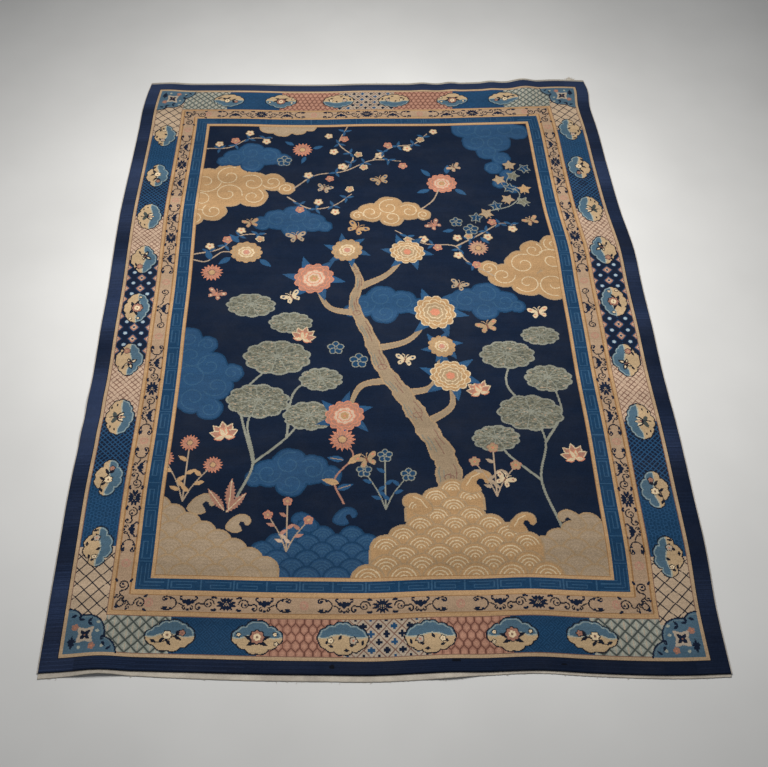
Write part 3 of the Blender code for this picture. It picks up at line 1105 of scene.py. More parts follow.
def tree():
    """A tree peony whose trunk winds up from the gold bank."""
    forks = ([(210, -690), (330, -600), (340, -470)], [(60, -440), (-80, -470), (-140, -600)],
             [(-20, -250), (150, -200), (260, -60)], [(-90, -20), (-230, 20), (-300, 170)],
             [(-70, 160), (60, 240), (150, 360)], [(110, -520), (250, -480), (300, -300)])
    for points in forks:
        stroke(curve(points), 42, "straw", end_width=16)
        stroke(curve(points), 30, "trunk", end_width=8)
    trunk([(300, -1100), (290, -900), (200, -700), (110, -520), (20, -360), (-40, -160), (-110, 40),
           (-80, 200), (-130, 360)], (124, 108, 96, 84, 72, 64, 52, 40, 24))
    for x, y, radius, yarns in (
            (340, -420, 100, GOLD_PEONY), (-160, -640, 92, PINK_PEONY), (290, -20, 112, GOLD_PEONY),
            (-310, 220, 108, PINK_PEONY), (170, 400, 92, GOLD_PEONY), (-140, 420, 84, STRAW_PEONY),
            (310, -240, 70, STRAW_PEONY)):
        for number in range(6):
            leaf(Place(x, y, number * 60 + x), radius * 1.52, radius * 0.5, LEAF_BLUES[number % 2], bend=8)
        peony(Place(x, y, x), radius, yarns)


# Yarns of the blossoms: petals, heart and rim
BONE_BLOOM = ("bone", "rose", "straw")
PINK_BLOOM = ("clay_pink", "gold", "rose")
GOLD_BLOOM = ("straw", "rose", "bone")

# The branches across the upper field: the points of each, and the place, radius and yarns of each
# of its blossoms
BRANCHES = (
    ([(600, 220), (470, 330), (420, 440), (260, 460), (120, 560)],
     ((520, 300, 24, PINK_BLOOM), (432, 372, 26, BONE_BLOOM), (440, 500, 25, BONE_BLOOM),
      (330, 430, 24, PINK_BLOOM), (262, 492, 27, BONE_BLOOM), (180, 490, 22, GOLD_BLOOM))),
    ([(430, 440), (560, 520), (680, 600), (760, 590)],
     ((500, 510, 23, GOLD_BLOOM), (600, 500, 26, BONE_BLOOM), (640, 612, 24, PINK_BLOOM),
      (740, 560, 26, BONE_BLOOM))),
    ([(-420, 900), (-300, 1010), (-140, 1040), (20, 1130), (180, 1120)],
     ((-340, 1010, 27, BONE_BLOOM), (-220, 980, 24, PINK_BLOOM), (-150, 1080, 28, BONE_BLOOM),
      (-30, 1070, 24, GOLD_BLOOM), (60, 1170, 28, BONE_BLOOM), (190, 1080, 26, PINK_BLOOM))),
    ([(-140, 1040), (-90, 1160), (-170, 1280), (-120, FIELD_Y)],
     ((-60, 1180, 24, GOLD_BLOOM), (-200, 1210, 27, BONE_BLOOM), (-140, 1320, 26, PINK_BLOOM),
      (-230, 1350, 24, BONE_BLOOM))),
    ([(20, 1130), (130, 1240), (260, 1270), (340, 1360)],
     ((110, 1260, 26, PINK_BLOOM), (220, 1230, 27, BONE_BLOOM), (300, 1310, 24, GOLD_BLOOM),
      (380, 1380, 24, BONE_BLOOM))),
    ([(-FIELD_X, 380), (-800, 420), (-700, 520), (-560, 540)],
     ((-850, 440, 25, BONE_BLOOM), (-760, 490, 27, PINK_BLOOM), (-690, 560, 25, BONE_BLOOM),
      (-590, 500, 24, GOLD_BLOOM))),
    ([(-FIELD_X, 1230), (-800, 1240), (-690, 1320), (-560, 1330)],
     ((-860, 1270, 25, BONE_BLOOM), (-770, 1300, 27, PINK_BLOOM), (-690, 1370, 25, BONE_BLOOM),
      (-590, 1300, 26, BONE_BLOOM))),
    ([(-450, 830), (-330, 740), (-200, 760), (-100, 850)],
     ((-380, 730, 25, PINK_BLOOM), (-280, 790, 26, BONE_BLOOM), (-190, 710, 25, BONE_BLOOM),
      (-110, 890, 25, GOLD_BLOOM))))


def branches():
    """Thin branches of blossom across the upper field."""
    for points, flowers in BRANCHES:
        line = twig(points)
        for number, share in enumerate((0.2, 0.45, 0.7, 0.92)):
            x, y = line[int(share * (len(line) - 1))]
            for turn in (40, 150, 260):
                leaf(Place(x, y, turn + 37 * number), 44, 17, LEAF_BLUES[number % 2])
        for x, y, radius, yarns in flowers:
            blossom(Place(x, y, radius * 7), radius, *yarns)


# The leaves of the vine: place, turn and yarn, and the yarn of the line round each kind
IVY_LEAVES = (
    (680, 740, 10, "deep_blue"), (750, 790, -30, "sand"), (830, 770, 40, "sage"),
    (850, 870, 0, "rich_gold"), (770, 880, 60, "deep_blue"), (720, 950, 20, "sand"),
    (800, 980, -20, "sage"), (870, 1040, 30, "deep_blue"), (790, 1070, 0, "sand"),
    (620, 680, 30, "sand"), (560, 650, -10, "deep_blue"))
IVY_LINES = {"deep_blue": "leaf_pale", "sage": "leaf_pale", "sand": "straw", "rich_gold": "straw"}


def ivy():
    """A hanging vine of notched leaves down the right side."""
    twig([(640, 700), (760, 740), (820, 830), (760, 930), (820, 1020)], 6, 5, "leaf_pale")
    for x, y, turn, yarn in IVY_LEAVES:
        notched_leaf(Place(x, y, turn), 42, yarn, IVY_LINES[yarn])


def garden():
    """Smaller plants in the lower field and between the clouds."""
    twig([(-160, -1100), (-200, -980), (-120, -860), (-170, -780)], 9, 6, "clay_pink")
    for x, y, turn, yarn in ((-190, -1030, 20, "mid_blue"), (-180, -1000, 165, "gold"),
                             (-140, -900, 45, "gold"), (-160, -880, 170, "mid_blue")):
        leaf(Place(x, y, turn), 78, 32, yarn, "straw")
    aster(Place(-170, -770), 62)
    spray(Place(20, -1130), 270, lambda spot: open_flower(spot, 34), ("leaf_pale", "mid_blue"), "leaf_pale")
    spray(Place(-850, -1100), 300, lambda spot: aster(spot, 44), ("mid_blue", "gold"))
    spray(Place(-400, -1330), 240, lambda spot: blossom(spot, 22, *PINK_BLOOM),
          ("clay_pink", "pale_clay", "rose_clay"))
    spray(Place(500, -1080), 250, lambda spot: blossom(spot, 26, "straw", "rose", "clay_pink"),
          ("mid_blue", "flax"))
    for x, y, turn, length in ((-660, -1150, 50, 130), (-650, -1130, 88, 150), (-670, -1140, 126, 130)):
        feathered_leaf(Place(x, y, turn), length)
    open_flower(Place(-90, -320), 44)
    open_flower(Place(-200, -240), 40)
    twig([(-FIELD_X, 340), (-860, 330), (-780, 400), (-690, 380)], 8, 6)
    peony(Place(-660, 400), 84, STRAW_PEONY)
    aster(Place(-830, 250), 58)
    leaves(((-740, 360, 220), (-700, 470, 130), (-590, 350, -40), (-840, 340, 110)), 80, 34)
    peony(Place(400, 930), 84, PINK_PEONY)
    twig([(270, 720), (340, 790), (380, 880)], 8, 7)
    leaves(((330, 880, 200), (470, 880, -40), (430, 1010, 80), (340, 990, 130)), 78, 32)
    aster(Place(-380, 1230), 58)
    open_flower(Place(-480, 1130), 42)
    open_flower(Place(520, 560), 40)
    open_flower(Place(450, 620), 34)
    leaves(((-360, 1170, 250), (-320, 1240, 20), (-430, 1270, 150), (560, 500, -50), (430, 560, 190)),
           64, 26)
    aster(Place(540, 420), 54, "straw", "rose_clay")


# The butterflies: place, turn, size, and the yarns of wings and marks
BUTTERFLIES = (
    (-60, -880, 20, 0.9, "straw", "rose"), (-420, 90, 30, 0.9, "bone", "deep_blue"),
    (-80, 580, -35, 1.05, "rich_gold", "deep_blue"), (540, -120, 15, 0.95, "straw", "rose"),
    (330, 600, 40, 0.8, "clay_pink", "bone"), (-400, 520, 10, 0.95, "sand", "deep_blue"),
    (-800, 100, -25, 0.85, "clay_pink", "bone"), (60, 960, 20, 0.9, "straw", "key_blue"),
    (540, -1000, -30, 0.8, "bone", "clay_pink"), (480, 1060, 35, 0.75, "sand", "rose"),
    (130, -320, -10, 0.85, "bone", "deep_blue"), (800, -30, 10, 0.9, "bone", "rose"),
    (-250, 900, -20, 0.8, "sand", "key_blue"), (850, 620, 25, 0.8, "straw", "rose"),
    (420, 160, -25, 0.85, "sand", "deep_blue"), (-640, 620, 15, 0.8, "straw", "rose"))


def butterflies():
    for x, y, turn, size, wing, mark in BUTTERFLIES:
        flying_butterfly(Place(x, y, turn, size), wing, mark, "rose" if wing == "clay_pink" else "brown")


def field():
    clouds()
    branches()
    ivy()
    lotus_pond()
    tree()
    foot()
    garden()
    butterflies()


# Shape of the carpet in metres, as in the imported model
FOUNDATION = 0.003
PILE_CROWN = 0.010
PILE_RIM = 0.0076
CROWN_INSET = 0.007
EDGE_DIAMETER = 0.0056
EDGE_GAP = 0.0003

# These are this scene's own: the width of the far end's strip of web, and the width and height of
# the strip beside it where the pile is worn off
FAR_WEB = 0.006
FAR_BARE = BARE_ROWS * KNOT_Y / 1000
BARE_HEIGHT = 0.0040

# How far one piece reaches into the next, and the least height of a rim's lower edge
SEAT = 0.0006
RIM_FOOT = 0.0002

# How far each long side stands out of a straight line, at places along it, in mm
SideRow = namedtuple("SideRow", "y left right")
SIDE_WANDER = np.array((
    SideRow(-1850, 8, 2), SideRow(-1570, 15, 6), SideRow(-1340, 20, 23), SideRow(-1050, 26, 29),
    SideRow(-740, 21, 34), SideRow(-400, 20, 31), SideRow(-120, 27, 37), SideRow(140, 29, 38),
    SideRow(400, 38, 45), SideRow(700, 45, 24), SideRow(1040, 39, 14), SideRow(1400, 33, 8),
    SideRow(1590, 33, -2), SideRow(1760, 20, 9), SideRow(1850, 7, -5)), float) / 1000

# The same for the two ends, and how wide the near end's strip of web is there
EndRow = namedtuple("EndRow", "x near far web")
END_WANDER = np.array((
    EndRow(-1345, -24, -2, 24), EndRow(-1220, -30, 3, 21), EndRow(-1110, -34, -8, 16),
    EndRow(-980, -29, -10, 20), EndRow(-740, -20, -13, 25), EndRow(-480, -10, -25, 26),
    EndRow(-240, -4, -27, 26), EndRow(-50, 0, -20, 26), EndRow(200, -8, -22, 25), EndRow(400, -9, -23, 14),
    EndRow(600, -13, -17, 12), EndRow(800, 0, -9, 13), EndRow(1000, 10, -1, 13), EndRow(1150, 13, 8, 14),
    EndRow(1345, 9, -2, 13)), float) / 1000

# Ripples that the edges have from long use, in mm
Ripple = namedtuple("Ripple", "edge place spread reach height")
RIPPLES = (
    Ripple("far", 960, 105, 340, 17), Ripple("far", 760, 75, 190, 8), Ripple("far", 510, 75, 170, 9),
    Ripple("far", 335, 90, 160, 8), Ripple("near", -1120, 150, 300, 12), Ripple("near", 270, 130, 210, 6),
    Ripple("left", -560, 100, 280, 7), Ripple("left", -745, 90, 240, 6))


def read_table(table, value, place):
    """Smooth values of a table's column at many places along its first column."""
    spots, values = table[:, 0], table[:, value]
    slopes = np.gradient(values, spots)
    place = np.clip(place, spots[0], spots[-1])
    row = np.clip(np.searchsorted(spots, place, side="right") - 1, 0, len(spots) - 2)
    step = spots[row + 1] - spots[row]
    t = (place - spots[row]) / step
    ease = t * t * (3 - 2 * t)
    start_pull = t * (1 - t) ** 2 * slopes[row] * step
    end_pull = t * t * (1 - t) * slopes[row + 1] * step
    return values[row] + (values[row + 1] - values[row]) * ease + start_pull - end_pull


def hump(distance, spread):
    return np.cos(np.pi / 2 * np.minimum(np.abs(distance) / spread, 1)) ** 2


def lift(x, y):
    """How far the ripples raise the carpet off the floor."""
    height = np.zeros(np.shape(x))
    edges = {"near": (x, y + HALF_LENGTH), "far": (x, HALF_LENGTH - y), "left": (y, x + HALF_WIDTH)}
    for ripple in RIPPLES:
        along, inward = edges[ripple.edge]
        height += (ripple.height / 1000 * hump(along - ripple.place / 1000, ripple.spread / 1000)
                   * hump(np.maximum(inward, 0), ripple.reach / 1000))
    return height


def wander(x, y):
    """Where a point of the straight chart lies on the real, slightly crooked carpet."""
    right_share = (x / HALF_WIDTH + 1) / 2
    far_share = (y / HALF_LENGTH + 1) / 2
    moved_x = (x - read_table(SIDE_WANDER, 1, y) * (1 - right_share)
               + read_table(SIDE_WANDER, 2, y) * right_share)
    moved_y = (y - read_table(END_WANDER, 1, x) * (1 - far_share)
               + read_table(END_WANDER, 2, x) * far_share)
    return moved_x, moved_y


def pile_height(x, y):
    """Thickness of the carpet: rounded off at its edges, low where the far end has lost its pile."""
    past_bare = HALF_LENGTH - FAR_BARE - y
    inside = np.minimum(np.minimum(HALF_WIDTH - np.abs(x), y + HALF_LENGTH), past_bare)
    share = np.clip(inside / CROWN_INSET, 0, 1)
    thick = PILE_RIM + (PILE_CROWN - PILE_RIM) * np.sin(share * np.pi / 2)
    return np.where(inside < -0.001, BARE_HEIGHT, thick)


# Meshes
# In knots: the side of the largest patch, the lines that round off the pile's rim, the lines
# between the borders and the field and between the field's halves, and how coarse the back is
BLOCK = 8
RIM_LINES = (1, 2)
PIECE_LINE = 123
FIELD_LINE = 552
BACK_PITCH = 2


def patches(knots, block, row_lines=(), column_lines=()):
    """Rectangles of equal knots: first row, first column, end row, end column."""
    rows, columns = knots.shape
    cut_rows = set(range(0, rows + 1, block)) | set(row_lines)
    starts = np.ones(knots.shape, bool)
    starts[:, 1:] = knots[:, 1:] != knots[:, :-1]
    starts[:, ::block] = True
    for line in column_lines:
        starts[:, line] = True
    first = np.zeros(columns, int)
    found = []
    for row in range(rows + 1):
        joined = np.zeros(columns, bool)
        if row < rows and row not in cut_rows:
            heads = np.flatnonzero(starts[row])
            ends = np.append(heads[1:], columns)
            same = (knots[row] == knots[row - 1]) & (starts[row] == starts[row - 1])
            joined[heads] = np.logical_and.reduceat(same, heads) & np.append(starts[row - 1], True)[ends]
        if row:
            heads = np.flatnonzero(starts[row - 1])
            ends = np.append(heads[1:], columns)
            done = ~joined[heads]
            found.append(np.stack([first[heads], heads, np.full(len(heads), row), ends], 1)[done])
        first[~joined] = row
    return np.vstack(found)


def loops_of(found, used):
    """Corners of each patch, with every used grid point that lies on its sides."""
    width = used.shape[1]
    loops = []
    for top, left, bottom, right in found:
        south = np.flatnonzero(used[top, left:right]) + left
        east = np.flatnonzero(used[top:bottom, right]) + top
        north = np.flatnonzero(used[bottom, left + 1:right + 1])[::-1] + left + 1
        west = np.flatnonzero(used[top + 1:bottom + 1, left])[::-1] + top + 1
        loops.append(np.concatenate([top * width + south, east * width + right,
                                     bottom * width + north, west * width + left]))
    return loops


def used_points(found, shape):
    """The grid points that are a corner of a patch."""
    used = np.zeros(shape, bool)
    for row, column in ((0, 1), (0, 3), (2, 1), (2, 3)):
        used[found[:, row], found[:, column]] = True
    return used


def make_object(name, points, loops, colours=None, smooth=True):
    """A mesh object from points and the point numbers of each face."""
    mesh = bpy.data.meshes.new(name)
    flat = np.concatenate(loops)
    counts = np.array([len(loop) for loop in loops])
    starts = np.concatenate([[0], np.cumsum(counts)[:-1]])
    mesh.vertices.add(len(points))
    mesh.vertices.foreach_set("co", np.asarray(points, np.float32).ravel())
    mesh.loops.add(len(flat))
    mesh.loops.foreach_set("vertex_index", flat.astype(np.int32))
    mesh.polygons.add(len(counts))
    mesh.polygons.foreach_set("loop_start", starts.astype(np.int32))
    mesh.update(calc_edges=True)
    mesh.polygons.foreach_set("use_smooth", np.full(len(counts), smooth))
    if colours is not None:
        layer = mesh.color_attributes.new("yarn", "BYTE_COLOR", "CORNER")
        corner = np.repeat(colours, counts, axis=0)
        layer.data.foreach_set("color_srgb", corner.astype(np.float32).ravel())
    mesh.validate()
    obj = bpy.data.objects.new(name, mesh)
    bpy.context.scene.collection.objects.link(obj)
    return obj


def renumber(loops):
    """The point numbers that the faces use, and the faces with those numbered from 0."""
    numbers, flat = np.unique(np.concatenate(loops), return_inverse=True)
    return numbers, np.split(flat, np.cumsum([len(loop) for loop in loops])[:-1])


def place_points(row, column, step_y, step_x, height):
    """Points of the chart's grid on the real carpet, at a height above its underside."""
    x = column * step_x - HALF_WIDTH
    y = row * step_y - HALF_LENGTH
    moved_x, moved_y = wander(x, y)
    return np.stack([moved_x, moved_y, lift(x, y) + height(x, y)], 1)


def walls(loops, points, on_rim):
    """Faces that go down from the pile's outer rim, the patch of each, and their new points."""
    edges = {}
    for number, loop in enumerate(loops):
        if on_rim[loop].any():
            for a, b in zip(loop, np.roll(loop, -1)):
                if on_rim[a] and on_rim[b]:
                    edges[(a, b)] = number
    faces, owners, low = [], [], {}
    for (a, b), owner in edges.items():
        if (b, a) not in edges:
            for point in (a, b):
                low.setdefault(point, len(points) + len(low))
            faces.append(np.array([b, a, low[a], low[b]]))
            owners.append(owner)
    return faces, owners, sink_to_web(points[list(low)])


def pile_piece(name, rows, columns, found, used, yarns):
    """One part of the pile: the patches inside a range of rows and columns of the chart."""
    inside = ((found[:, 0] >= rows[0]) & (found[:, 2] <= rows[1])
              & (found[:, 1] >= columns[0]) & (found[:, 3] <= columns[1]))
    mine = found[inside]
    numbers, loops = renumber(loops_of(mine, used))
    row, column = np.divmod(numbers, used.shape[1])
    points = place_points(row, column, KNOT_Y / 1000, KNOT_X / 1000, pile_height)
    colours = yarns[chart[mine[:, 0], mine[:, 1]]]
    on_rim = (row == 0) | (row == ROWS) | (column == 0) | (column == COLUMNS)
    faces, owners, under = walls(loops, points, on_rim)
    points = np.vstack([points, under])
    colours = np.vstack([colours, colours[owners]]) if owners else colours
    return make_object(name, points, loops + faces, colours)


def sink_to_web(rim):
    """Points under the rim of the pile, a little inside the foundation."""
    under = rim.copy()
    under[:, 2] = np.maximum(under[:, 2] - (PILE_RIM - FOUNDATION + SEAT), RIM_FOOT)
    return under


def pile_pieces(yarns):
    """The pile in six parts: the border on each side, and the near and far half of the field."""
    far_rim = ROWS - BARE_ROWS
    far_line, right_line = ROWS - PIECE_LINE, COLUMNS - PIECE_LINE
    row_lines = RIM_LINES + (PIECE_LINE, FIELD_LINE, far_line, *range(far_rim - 2, far_rim + 2))
    column_lines = RIM_LINES + (PIECE_LINE, right_line, COLUMNS - 2, COLUMNS - 1)
    found = patches(chart, BLOCK, row_lines, column_lines)
    used = used_points(found, (ROWS + 1, COLUMNS + 1))
    parts = {
        "pile_near": ((0, PIECE_LINE), (0, COLUMNS)),
        "pile_far": ((far_line, ROWS), (0, COLUMNS)),
        "pile_left": ((PIECE_LINE, far_line), (0, PIECE_LINE)),
        "pile_right": ((PIECE_LINE, far_line), (right_line, COLUMNS)),
        "pile_field_near": ((PIECE_LINE, FIELD_LINE), (PIECE_LINE, right_line)),
        "pile_field_far": ((FIELD_LINE, far_line), (PIECE_LINE, right_line))}
    return [pile_piece(name, rows, columns, found, used, yarns) for name, (rows, columns) in parts.items()]


def carpet_back(yarns):
    """The knotted foundation under the pile, which shows the same pattern on the underside."""
    knots = chart[::BACK_PITCH, ::BACK_PITCH]
    rows, columns = knots.shape
    found = patches(knots, BLOCK)
    used = used_points(found, (rows + 1, columns + 1))
    plain = patches(np.zeros_like(knots), BLOCK // BACK_PITCH)
    plain_used = used_points(plain, used.shape)
    for side in (np.s_[0, :], np.s_[-1, :], np.s_[:, 0], np.s_[:, -1]):
        used[side] |= plain_used[side]
        plain_used[side] = used[side]
    width, count = columns + 1, used.size
    under = [loop[::-1] for loop in loops_of(found, used)]
    over = [loop + count for loop in loops_of(plain, plain_used)]
    numbers, loops = renumber(under + over)
    level, spot = np.divmod(numbers, count)
    row, column = np.divmod(spot, width)
    points = place_points(row, column, 2 * HALF_LENGTH / rows, 2 * HALF_WIDTH / columns,
                          lambda x, y: level * FOUNDATION)
    index = np.full(2 * count, -1)
    index[numbers] = np.arange(len(numbers))
    rim = rim_walk(plain_used)
    ring = rim[:, 0] * width + rim[:, 1]
    sides = [np.array([index[a], index[b], index[b + count], index[a + count]])
             for a, b in zip(ring, np.roll(ring, -1))]
    hidden = np.tile(yarns[0], (len(plain) + len(sides), 1))
    colours = np.vstack([yarns[knots[found[:, 0], found[:, 1]]], hidden])
    return make_object("carpet_back", points, loops + sides, colours)


def rim_walk(used):
    """The used grid points round the outside, anticlockwise."""
    last_row, last_column = used.shape[0] - 1, used.shape[1] - 1
    south = [(0, c) for c in np.flatnonzero(used[0, :-1])]
    east = [(r, last_column) for r in np.flatnonzero(used[:-1, -1])]
    north = [(last_row, c) for c in np.flatnonzero(used[-1, 1:])[::-1] + 1]
    west = [(r, 0) for r in np.flatnonzero(used[1:, 0])[::-1] + 1]
    return np.array(south + east + north + west)


def hash_noise(*places):
    """A fixed number from 0 to 1 for each whole-numbered place."""
    mixed = np.zeros(np.shape(places[0]), np.uint64)
    for numbers, prime in zip(places, (73856093, 19349663, 83492791)):
        mixed ^= np.asarray(numbers).astype(np.int64).astype(np.uint64) * np.uint64(prime)
    mixed = (mixed ^ (mixed >> np.uint64(13))) * np.uint64(1274126177)
    return ((mixed ^ (mixed >> np.uint64(16))) % np.uint64(65536)).astype(float) / 65535


def grid_faces(rows, columns):
    """Faces of a grid of points, row after row."""
    corner = (np.arange(rows - 1)[:, None] * columns + np.arange(columns - 1)[None, :]).ravel()
    return np.stack([corner, corner + 1, corner + columns + 1, corner + columns], 1)


# The webs: points along and across each, the share of the foundation's thickness that the weave
# has at its lowest and adds at its highest on top and below, how much thinner the last row is, and
# how ragged that is in single warps and in groups of three
WEB_COLUMNS = 1200
WEB_ROWS = 8
WEAVE_LOW = 0.80
WEAVE_RISE = 0.20
WEAVE_UNDER = 0.10
LAST_ROW_SHARE = 0.72
RAGGED_WARPS = 0.0007
RAGGED_GROUPS = 0.0011


def web(name, way):
    """The strip of plain cotton weave at an end: way is -1 for the near end and 1 for the far one."""
    x = np.tile(np.linspace(-HALF_WIDTH, HALF_WIDTH, WEB_COLUMNS), (WEB_ROWS, 1))
    y = way * HALF_LENGTH + 0 * x
    row, column = np.arange(WEB_ROWS)[:, None], np.arange(WEB_COLUMNS)[None, :]
    share = np.linspace(0, 1, WEB_ROWS)[:, None]
    ragged = (RAGGED_GROUPS * (hash_noise(column // 3, 7) - 0.6)
              + RAGGED_WARPS * (hash_noise(column, 3) - 0.5))
    run = share * web_reach(x, way) + ragged * share ** 3
    moved_x, moved_y = wander(x, y)
    moved_y = moved_y + way * (run - SEAT)
    weave = (row + column) % 2
    slim = np.where(row == WEB_ROWS - 1, LAST_ROW_SHARE, 1.0)
    height = lift(x, y)
    top = height + FOUNDATION * slim * (WEAVE_LOW + WEAVE_RISE * weave)
    low = height + FOUNDATION * WEAVE_UNDER * (1 - weave) * (row < WEB_ROWS - 1)
    points = np.vstack([np.stack([moved_x, moved_y, z], 2).reshape(-1, 3) for z in (top, low)])
    loops = web_faces()
    return make_object(name, points, list(loops[:, ::-1] if way < 0 else loops))


def web_reach(x, way):
    """How wide a web is at places along it."""
    return read_table(END_WANDER, 3, x) if way < 0 else np.full(np.shape(x), FAR_WEB)


def web_faces():
    """Faces of a web's top, underside and rim."""
    faces = grid_faces(WEB_ROWS, WEB_COLUMNS)
    count = WEB_ROWS * WEB_COLUMNS
    ring = np.concatenate([np.arange(WEB_COLUMNS), np.arange(1, WEB_ROWS) * WEB_COLUMNS + WEB_COLUMNS - 1,
                           count - 2 - np.arange(WEB_COLUMNS - 1),
                           np.arange(WEB_ROWS - 2, 0, -1) * WEB_COLUMNS])
    after = np.roll(ring, -1)
    sides = np.stack([after, ring, ring + count, after + count], 1)
    return np.vstack([faces, faces[:, ::-1] + count, sides])


# The wound edges: rings of points along each, points round it, rings for each turn of the yarn, how
# thin the winding is between two turns, how much that adds in the middle of a turn, and how uneven
# the turns are, in shares of the radius
EDGE_STATIONS = 3701
EDGE_SEGMENTS = 8
STATIONS_A_WRAP = 4
WINDING_LOW = 0.90
WINDING_RISE = 0.10
WINDING_UNEVEN = 0.05


def overcast_edge(name, way):
    """The long side's edge, wound round and round with yarn."""
    y = np.linspace(-HALF_LENGTH, HALF_LENGTH, EDGE_STATIONS)[:, None]
    x = np.full_like(y, way * HALF_WIDTH)
    turn = np.arange(EDGE_SEGMENTS)[None, :] / EDGE_SEGMENTS * 2 * math.pi
    moved_x, moved_y = wander(x, y)
    radius = EDGE_DIAMETER / 2
    wrap = np.arange(EDGE_STATIONS)[:, None] / STATIONS_A_WRAP + way * turn / (2 * math.pi)
    uneven = WINDING_UNEVEN * (hash_noise(np.floor(wrap), 11) - 0.5)
    thick = radius * (WINDING_LOW + WINDING_RISE * np.abs(np.sin(math.pi * wrap)) ** 0.7 + uneven)
    centre_x = moved_x + way * (radius + EDGE_GAP)
    centre_z = lift(x, y) + radius
    points = np.stack([centre_x + thick * np.cos(turn), moved_y + 0 * turn,
                       centre_z + thick * np.sin(turn)], 2)
    return make_object(name, points.reshape(-1, 3), tube_faces(EDGE_STATIONS, EDGE_SEGMENTS, -1))


def tube_faces(rings, sides, way=1):
    """Faces of a tube with its two ends; way is -1 where its rings turn clockwise round its run."""
    ring = np.arange(sides)
    after = np.roll(ring, -1)
    start = (np.arange(rings - 1) * sides)[:, None]
    tube = np.stack([start + ring, start + after, start + sides + after, start + sides + ring], 2)
    ends = [ring[::-1], ring + (rings - 1) * sides]
    if way < 0:
        tube = tube[..., [0, 3, 2, 1]]
        ends = [end[::-1] for end in ends]
    return list(tube.reshape(-1, 4)) + ends


# A warp end that has come loose: which end of the carpet, where along it, and the thread's length,
# lean, bend and radius, in metres and degrees
LooseEnd = namedtuple("LooseEnd", "way place length lean bend radius")

# Groups of such ends: how many, the first seed of their chances, the middle and the width of the
# stretch where they lie, the least length and what chance adds to it, the range of lean and bend,
# and the radius
Group = namedtuple("Group", "count seed place width length more lean bend radius")
SCATTER = Group(60, 21, 0, 2.62, 0.005, 0.009, 80, 160, 0.0006)
TUFT = Group(24, 31, 1.27, 0.014, 0.018, 0.018, 110, 260, 0.0011)

# A loose thread: rings of points along it, points round it, how far inside the web's end and how
# high above its underside it starts, and how far it stays above the floor
THREAD_RINGS = 8
THREAD_SIDES = 5
THREAD_ROOT = 0.003
THREAD_RISE = 0.0018
THREAD_CLEARANCE = 0.0004


def loose_ends():
    """A scatter of short ends along both webs, and a tuft near the far right corner."""
    ends = []
    for group in (SCATTER, TUFT):
        for number in range(group.count):
            chance = [float(hash_noise(number, group.seed + step)) for step in range(4)]
            way = -1 if group is SCATTER and number % 2 == 0 else 1
            ends.append(LooseEnd(way, group.place + group.width * (chance[0] - 0.5),
                                 group.length + group.more * chance[1], group.lean * (chance[2] - 0.5),
                                 group.bend * (chance[3] - 0.5), group.radius))
    return ends


def thread(end):
    """Points of one loose thread, ring after ring, from inside the web to its tip on the floor."""
    start = np.array([end.place]), np.array([end.way * HALF_LENGTH])
    x, y = (float(value[0]) for value in wander(*start))
    y += end.way * (float(web_reach(end.place, end.way)) - THREAD_ROOT)
    raised = float(lift(*start)[0]) + THREAD_RISE
    step = end.length / (THREAD_RINGS - 1)
    around = np.arange(THREAD_SIDES) / THREAD_SIDES * 2 * math.pi
    rings = []
    for number in range(THREAD_RINGS):
        share = number / (THREAD_RINGS - 1)
        heading = math.radians(90 * end.way + end.lean + end.bend * share)
        z = max(raised * (1 - share), end.radius) + THREAD_CLEARANCE
        across = end.radius * np.cos(around)
        rings.append(np.stack([x - across * math.sin(heading), y + across * math.cos(heading),
                               z + end.radius * np.sin(around)], 1))
        x += step * math.cos(heading)
        y += step * math.sin(heading)
    return np.vstack(rings)


def loose_threads():
    """All the loose warp ends as one piece."""
    ends = loose_ends()
    count = THREAD_RINGS * THREAD_SIDES
    tube = tube_faces(THREAD_RINGS, THREAD_SIDES)
    loops = [loop + number * count for number in range(len(ends)) for loop in tube]
    return make_object("loose_warp_ends", np.vstack([thread(end) for end in ends]), loops)


# Materials
# Numbers of the colour sockets of a mixing node
MIX_FIRST = 6
MIX_OTHER = 7
MIX_RESULT = 2


def new_material(name):
    """A new material, its node tree and its main shader."""
    material = bpy.data.materials.new(name)
    material.use_nodes = True
    return material, material.node_tree, material.node_tree.nodes["Principled BSDF"]


def noise(tree, scale, detail=2.0, roughness=0.5):
    """Noise in metres on the object, stretched by a different scale along each axis."""
    where = tree.nodes.new("ShaderNodeTexCoord")
    stretch = tree.nodes.new("ShaderNodeMapping")
    stretch.inputs["Scale"].default_value = scale
    texture = tree.nodes.new("ShaderNodeTexNoise")
    texture.inputs["Scale"].default_value = 1.0
    texture.inputs["Detail"].default_value = detail
    texture.inputs["Roughness"].default_value = roughness
    tree.links.new(where.outputs["Object"], stretch.inputs["Vector"])
    tree.links.new(stretch.outputs["Vector"], texture.inputs["Vector"])
    return texture.outputs["Fac"]


def remap(tree, value, low, high, from_low=0.3, from_high=0.7):
    """A value stretched from its own range to another one."""
    node = tree.nodes.new("ShaderNodeMapRange")
    for name, number in (("From Min", from_low), ("From Max", from_high), ("To Min", low), ("To Max", high)):
        node.inputs[name].default_value = number
    tree.links.new(value, node.inputs["Value"])
    return node.outputs["Result"]


def times(tree, one, other):
    node = tree.nodes.new("ShaderNodeMath")
    node.operation = "MULTIPLY"
    tree.links.new(one, node.inputs[0])
    tree.links.new(other, node.inputs[1])
    return node.outputs[0]


def brighten(tree, colour, amount):
    """A colour made lighter or darker by a changing amount."""
    node = tree.nodes.new("ShaderNodeVectorMath")
    node.operation = "SCALE"
    tree.links.new(colour, node.inputs[0])
    tree.links.new(amount, node.inputs["Scale"])
    return node.outputs[0]


